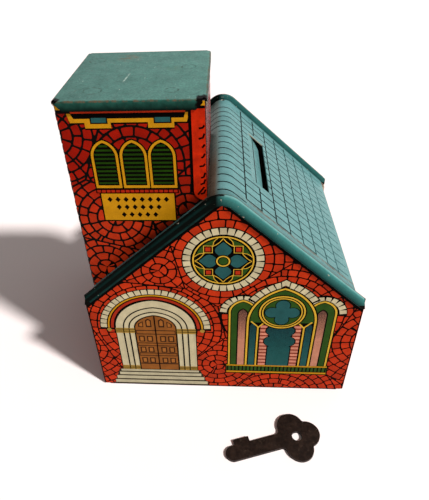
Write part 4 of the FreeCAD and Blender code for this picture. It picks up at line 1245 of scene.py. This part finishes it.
def roof_lines():
    shared = {"Rows": ROWS, "Columns": COLUMNS, "First Row": FIRST_ROW, "Row": ROW, "Shrink": SHRINK,
              "First Tile": FIRST_TILE, "Tile": TILE, "Line": LINE, "Ink": INKS["tile"]}
    gap_near, gap_far = slot_near - SLOT_MARGIN, slot_far + SLOT_MARGIN
    slot_gap = {"Gap Start": gap_near, "Gap End": gap_far, "Gap Top": slot_top - 2.0,
                "Gap Foot": slot_bottom + SLOT_MARGIN}
    tower_gap = {"Gap Start": -(tower_back + 3.0), "Gap End": -(tower_front - 3.0), "Gap Top": 3.0,
                 "Gap Foot": 60.0, "First Tile": -(FIRST_TILE + (COLUMNS - 1) * TILE)}
    for name, slope, gap in (("right", right_slope, slot_gap), ("left", left_slope, tower_gap)):
        for kind, across in (("joints", False), ("courses", True)):
            values = {**shared, **gap, "Across": across}
            roof_tiles.run(f"{name}_tile_{kind}", values, laid(slope, 0, 0, 1), "roof_print")
    stubs = Print("slot_tile_joints", right_slope)
    for column in range(COLUMNS):
        whole = FIRST_TILE + column * TILE
        for u, high, low in ((whole, row_place(0), slot_top), (whole + TILE / 2, slot_bottom, row_place(2))):
            if gap_near < u < gap_far:
                stubs.bar(u - LINE / 2, -low + 0.1, u + LINE / 2, -high, "tile")
    stubs.make()
    flap_line()
    ridge_lines()


def flap_line():
    """The course line that runs on along the slot's bent flap."""
    down = row_place(1) - slot_top
    up = right_slope.up * math.cos(flap_lean) + right_slope.out * math.sin(flap_lean)
    origin = right_slope.origin - right_slope.up * slot_top
    flap = Wall(origin, right_slope.across, up)
    sheet = Print("flap_tile_line", flap)
    sheet.bar(slot_near + 0.4, -down - LINE / 2, slot_far - 0.6, -down + LINE / 2, "black")
    sheet.make()


def ridge_lines():
    """Lines between the top tiles, bent over the rounded ridge. Beside the tower they stop at its wall."""
    centre = ridge - ridge_radius / math.cos(pitch)
    flat = row_place(0) - ridge_radius * math.tan(pitch)
    tower_stop, bends = 0.3, 12
    points, faces = [], []
    for column in range(COLUMNS):
        y = FIRST_TILE + (column - 0.5) * TILE
        beside_tower = tower_front - 0.5 < y < tower_back + 0.5
        last_turn = tower_stop if beside_tower else pitch
        turns = [-pitch + (last_turn + pitch) * bend / bends for bend in range(bends + 1)]
        stations = [(turns[0], flat)] + [(turn, 0.0) for turn in turns]
        if not beside_tower:
            stations.append((turns[-1], flat))
        first = len(points)
        for turn, run in stations:
            across, up = -math.sin(turn), math.cos(turn)
            hand = 1 if across > 0 else -1
            for y_end in (y - LINE / 2, y + LINE / 2):
                for radius in (ridge_radius, ridge_radius + INK):
                    x = across * radius + hand * run * math.cos(pitch)
                    z = centre + up * radius - run * math.sin(pitch)
                    points.append(Vector((x, y_end, z)) * MM)
        for number in range(len(stations) - 1):
            a, b = first + 4 * number, first + 4 * number + 4
            for low, high in ((0, 1), (1, 3), (3, 2), (2, 0)):
                faces.append((a + low, a + high, b + high, b + low))
        last = first + 4 * (len(stations) - 1)
        faces += [(first, first + 2, first + 3, first + 1), (last, last + 1, last + 3, last + 2)]
    mesh = bpy.data.meshes.new("ridge_tile_lines")
    mesh.from_pydata(points, [], faces)
    mesh.materials.append(INKS["black"])
    settle(mesh, [0.5] * len(faces))


# Stage


def floor_paper():
    mesh = bpy.data.meshes.new("floor")
    reach = 4.0
    corners = [(*corner, 0) for corner in rectangle(-reach, -reach, reach, reach)]
    mesh.from_pydata(corners, [], [(0, 1, 2, 3)])
    material = bpy.data.materials.new("floor_paper")
    material.use_nodes = True
    wiring = Wiring(material.node_tree)
    paper = wiring.get("ShaderNodeBsdfDiffuse", {"Color": (0.9, 0.812, 0.795, 1.0)})
    wiring.add("ShaderNodeOutputMaterial", {"Surface": paper})
    mesh.materials.append(material)
    floor = bpy.data.objects.new("floor", mesh)
    scene.collection.objects.link(floor)


def window_light():
    """The main light, from the front right."""
    lamp = bpy.data.lights.new("window_light", "SUN")
    lamp.energy = 4.6
    lamp.angle = math.radians(6.0)
    lamp.color = (1.0, 0.99, 0.98)
    sun = bpy.data.objects.new("window_light", lamp)
    towards = Vector((0.597, -0.348, 0.72))
    sun.rotation_euler = towards.to_track_quat("Z", "Y").to_euler()
    scene.collection.objects.link(sun)


def room_light():
    """Soft light, stronger from the right, that the camera and shiny faces see as plain white."""
    world = bpy.data.worlds.new("studio")
    scene.world = world
    world.use_nodes = True
    sky = Wiring(world.node_tree)
    rays = sky.add("ShaderNodeLightPath").outputs
    heading = sky.split(sky.add("ShaderNodeTexCoord").outputs["Generated"])
    dim, bright = 0.06, 0.52
    level = sky.get("ShaderNodeMapRange", {"Value": heading["X"], "From Min": -0.8, "From Max": 0.8,
                                           "To Min": dim, "To Max": bright})
    soft = sky.get("ShaderNodeBackground", {"Color": (1.0, 0.955, 0.935, 1.0), "Strength": level})
    white = sky.get("ShaderNodeBackground", {"Color": (1.0, 1.0, 1.0, 1.0), "Strength": 1.0})
    seen = sky.most(rays["Is Camera Ray"], sky.most(rays["Is Glossy Ray"], rays["Is Transmission Ray"]))
    mixed = sky.get("ShaderNodeMixShader", {0: seen, 1: soft, 2: white})
    sky.add("ShaderNodeOutputWorld", {"Surface": mixed})


def camera():
    """The photographer's place and the way the camera looks down at the bank. Angles are radians, and
    focus, centre and sight are pixels of a picture 500 pixels high."""
    place = Vector((0.1824, -131.3779 + middle, 138.4809))
    down, aside, roll = -0.6603, 0.0917, -0.0512
    focus, long_side, sensor = 461.6365, 500.0, 36.0
    centre = (214.5, 250.0)
    sight = (189.2767, 244.0599)
    turn = Matrix.Rotation(aside, 3, "Z") @ Matrix.Rotation(down, 3, "X")
    right, ahead, up = (turn.col[axis].copy() for axis in range(3))
    level_right = math.cos(roll) * right + math.sin(roll) * up
    level_up = math.cos(roll) * up - math.sin(roll) * right
    lens = bpy.data.cameras.new("camera")
    lens.sensor_width = sensor
    lens.lens = focus * sensor / long_side
    lens.shift_x = (centre[0] - sight[0]) / long_side
    lens.shift_y = -(centre[1] - sight[1]) / long_side
    lens.clip_start = 0.01
    eye = bpy.data.objects.new("camera", lens)
    facing = Matrix((level_right, level_up, -ahead)).transposed().to_4x4()
    eye.matrix_world = Matrix.Translation(place * MM) @ facing
    scene.collection.objects.link(eye)
    scene.camera = eye


def dress(names, material):
    """Gives CAD nodes their finish."""
    for name in names:
        for slot in frame["nodes"][name].material_slots:
            slot.material = material


dress(["roof_and_sides"], roof_print())
dress(["front_gable"], gable_print("front_gable_print", 1.0))
dress(["back_gable"], gable_print("back_gable_print", -1.0))
dress(["tower_wall"], tower_print())
dress(["tower_cap"], cap_paint())
dress(["base_plate", "coin_door"], bare_tin())
dress(["hinge_pin"], steel("steel_wire", (150, 146, 138), 0.35, 0.9))
dress(["lock_case", "lock_rivets", "lock_bolt", "bolt_spring"],
      steel("lock_steel", (120, 114, 104), 0.4, 0.85))
dress(["key"], key_steel())

house_stonework()
tower_stonework()
rose_window()
doorway()
triple_window()
tower_windows()
tower_frieze()
sign()
lap_marks()
roof_lines()
floor_paper()
window_light()
room_light()
camera()

scene.view_settings.view_transform = "Standard"
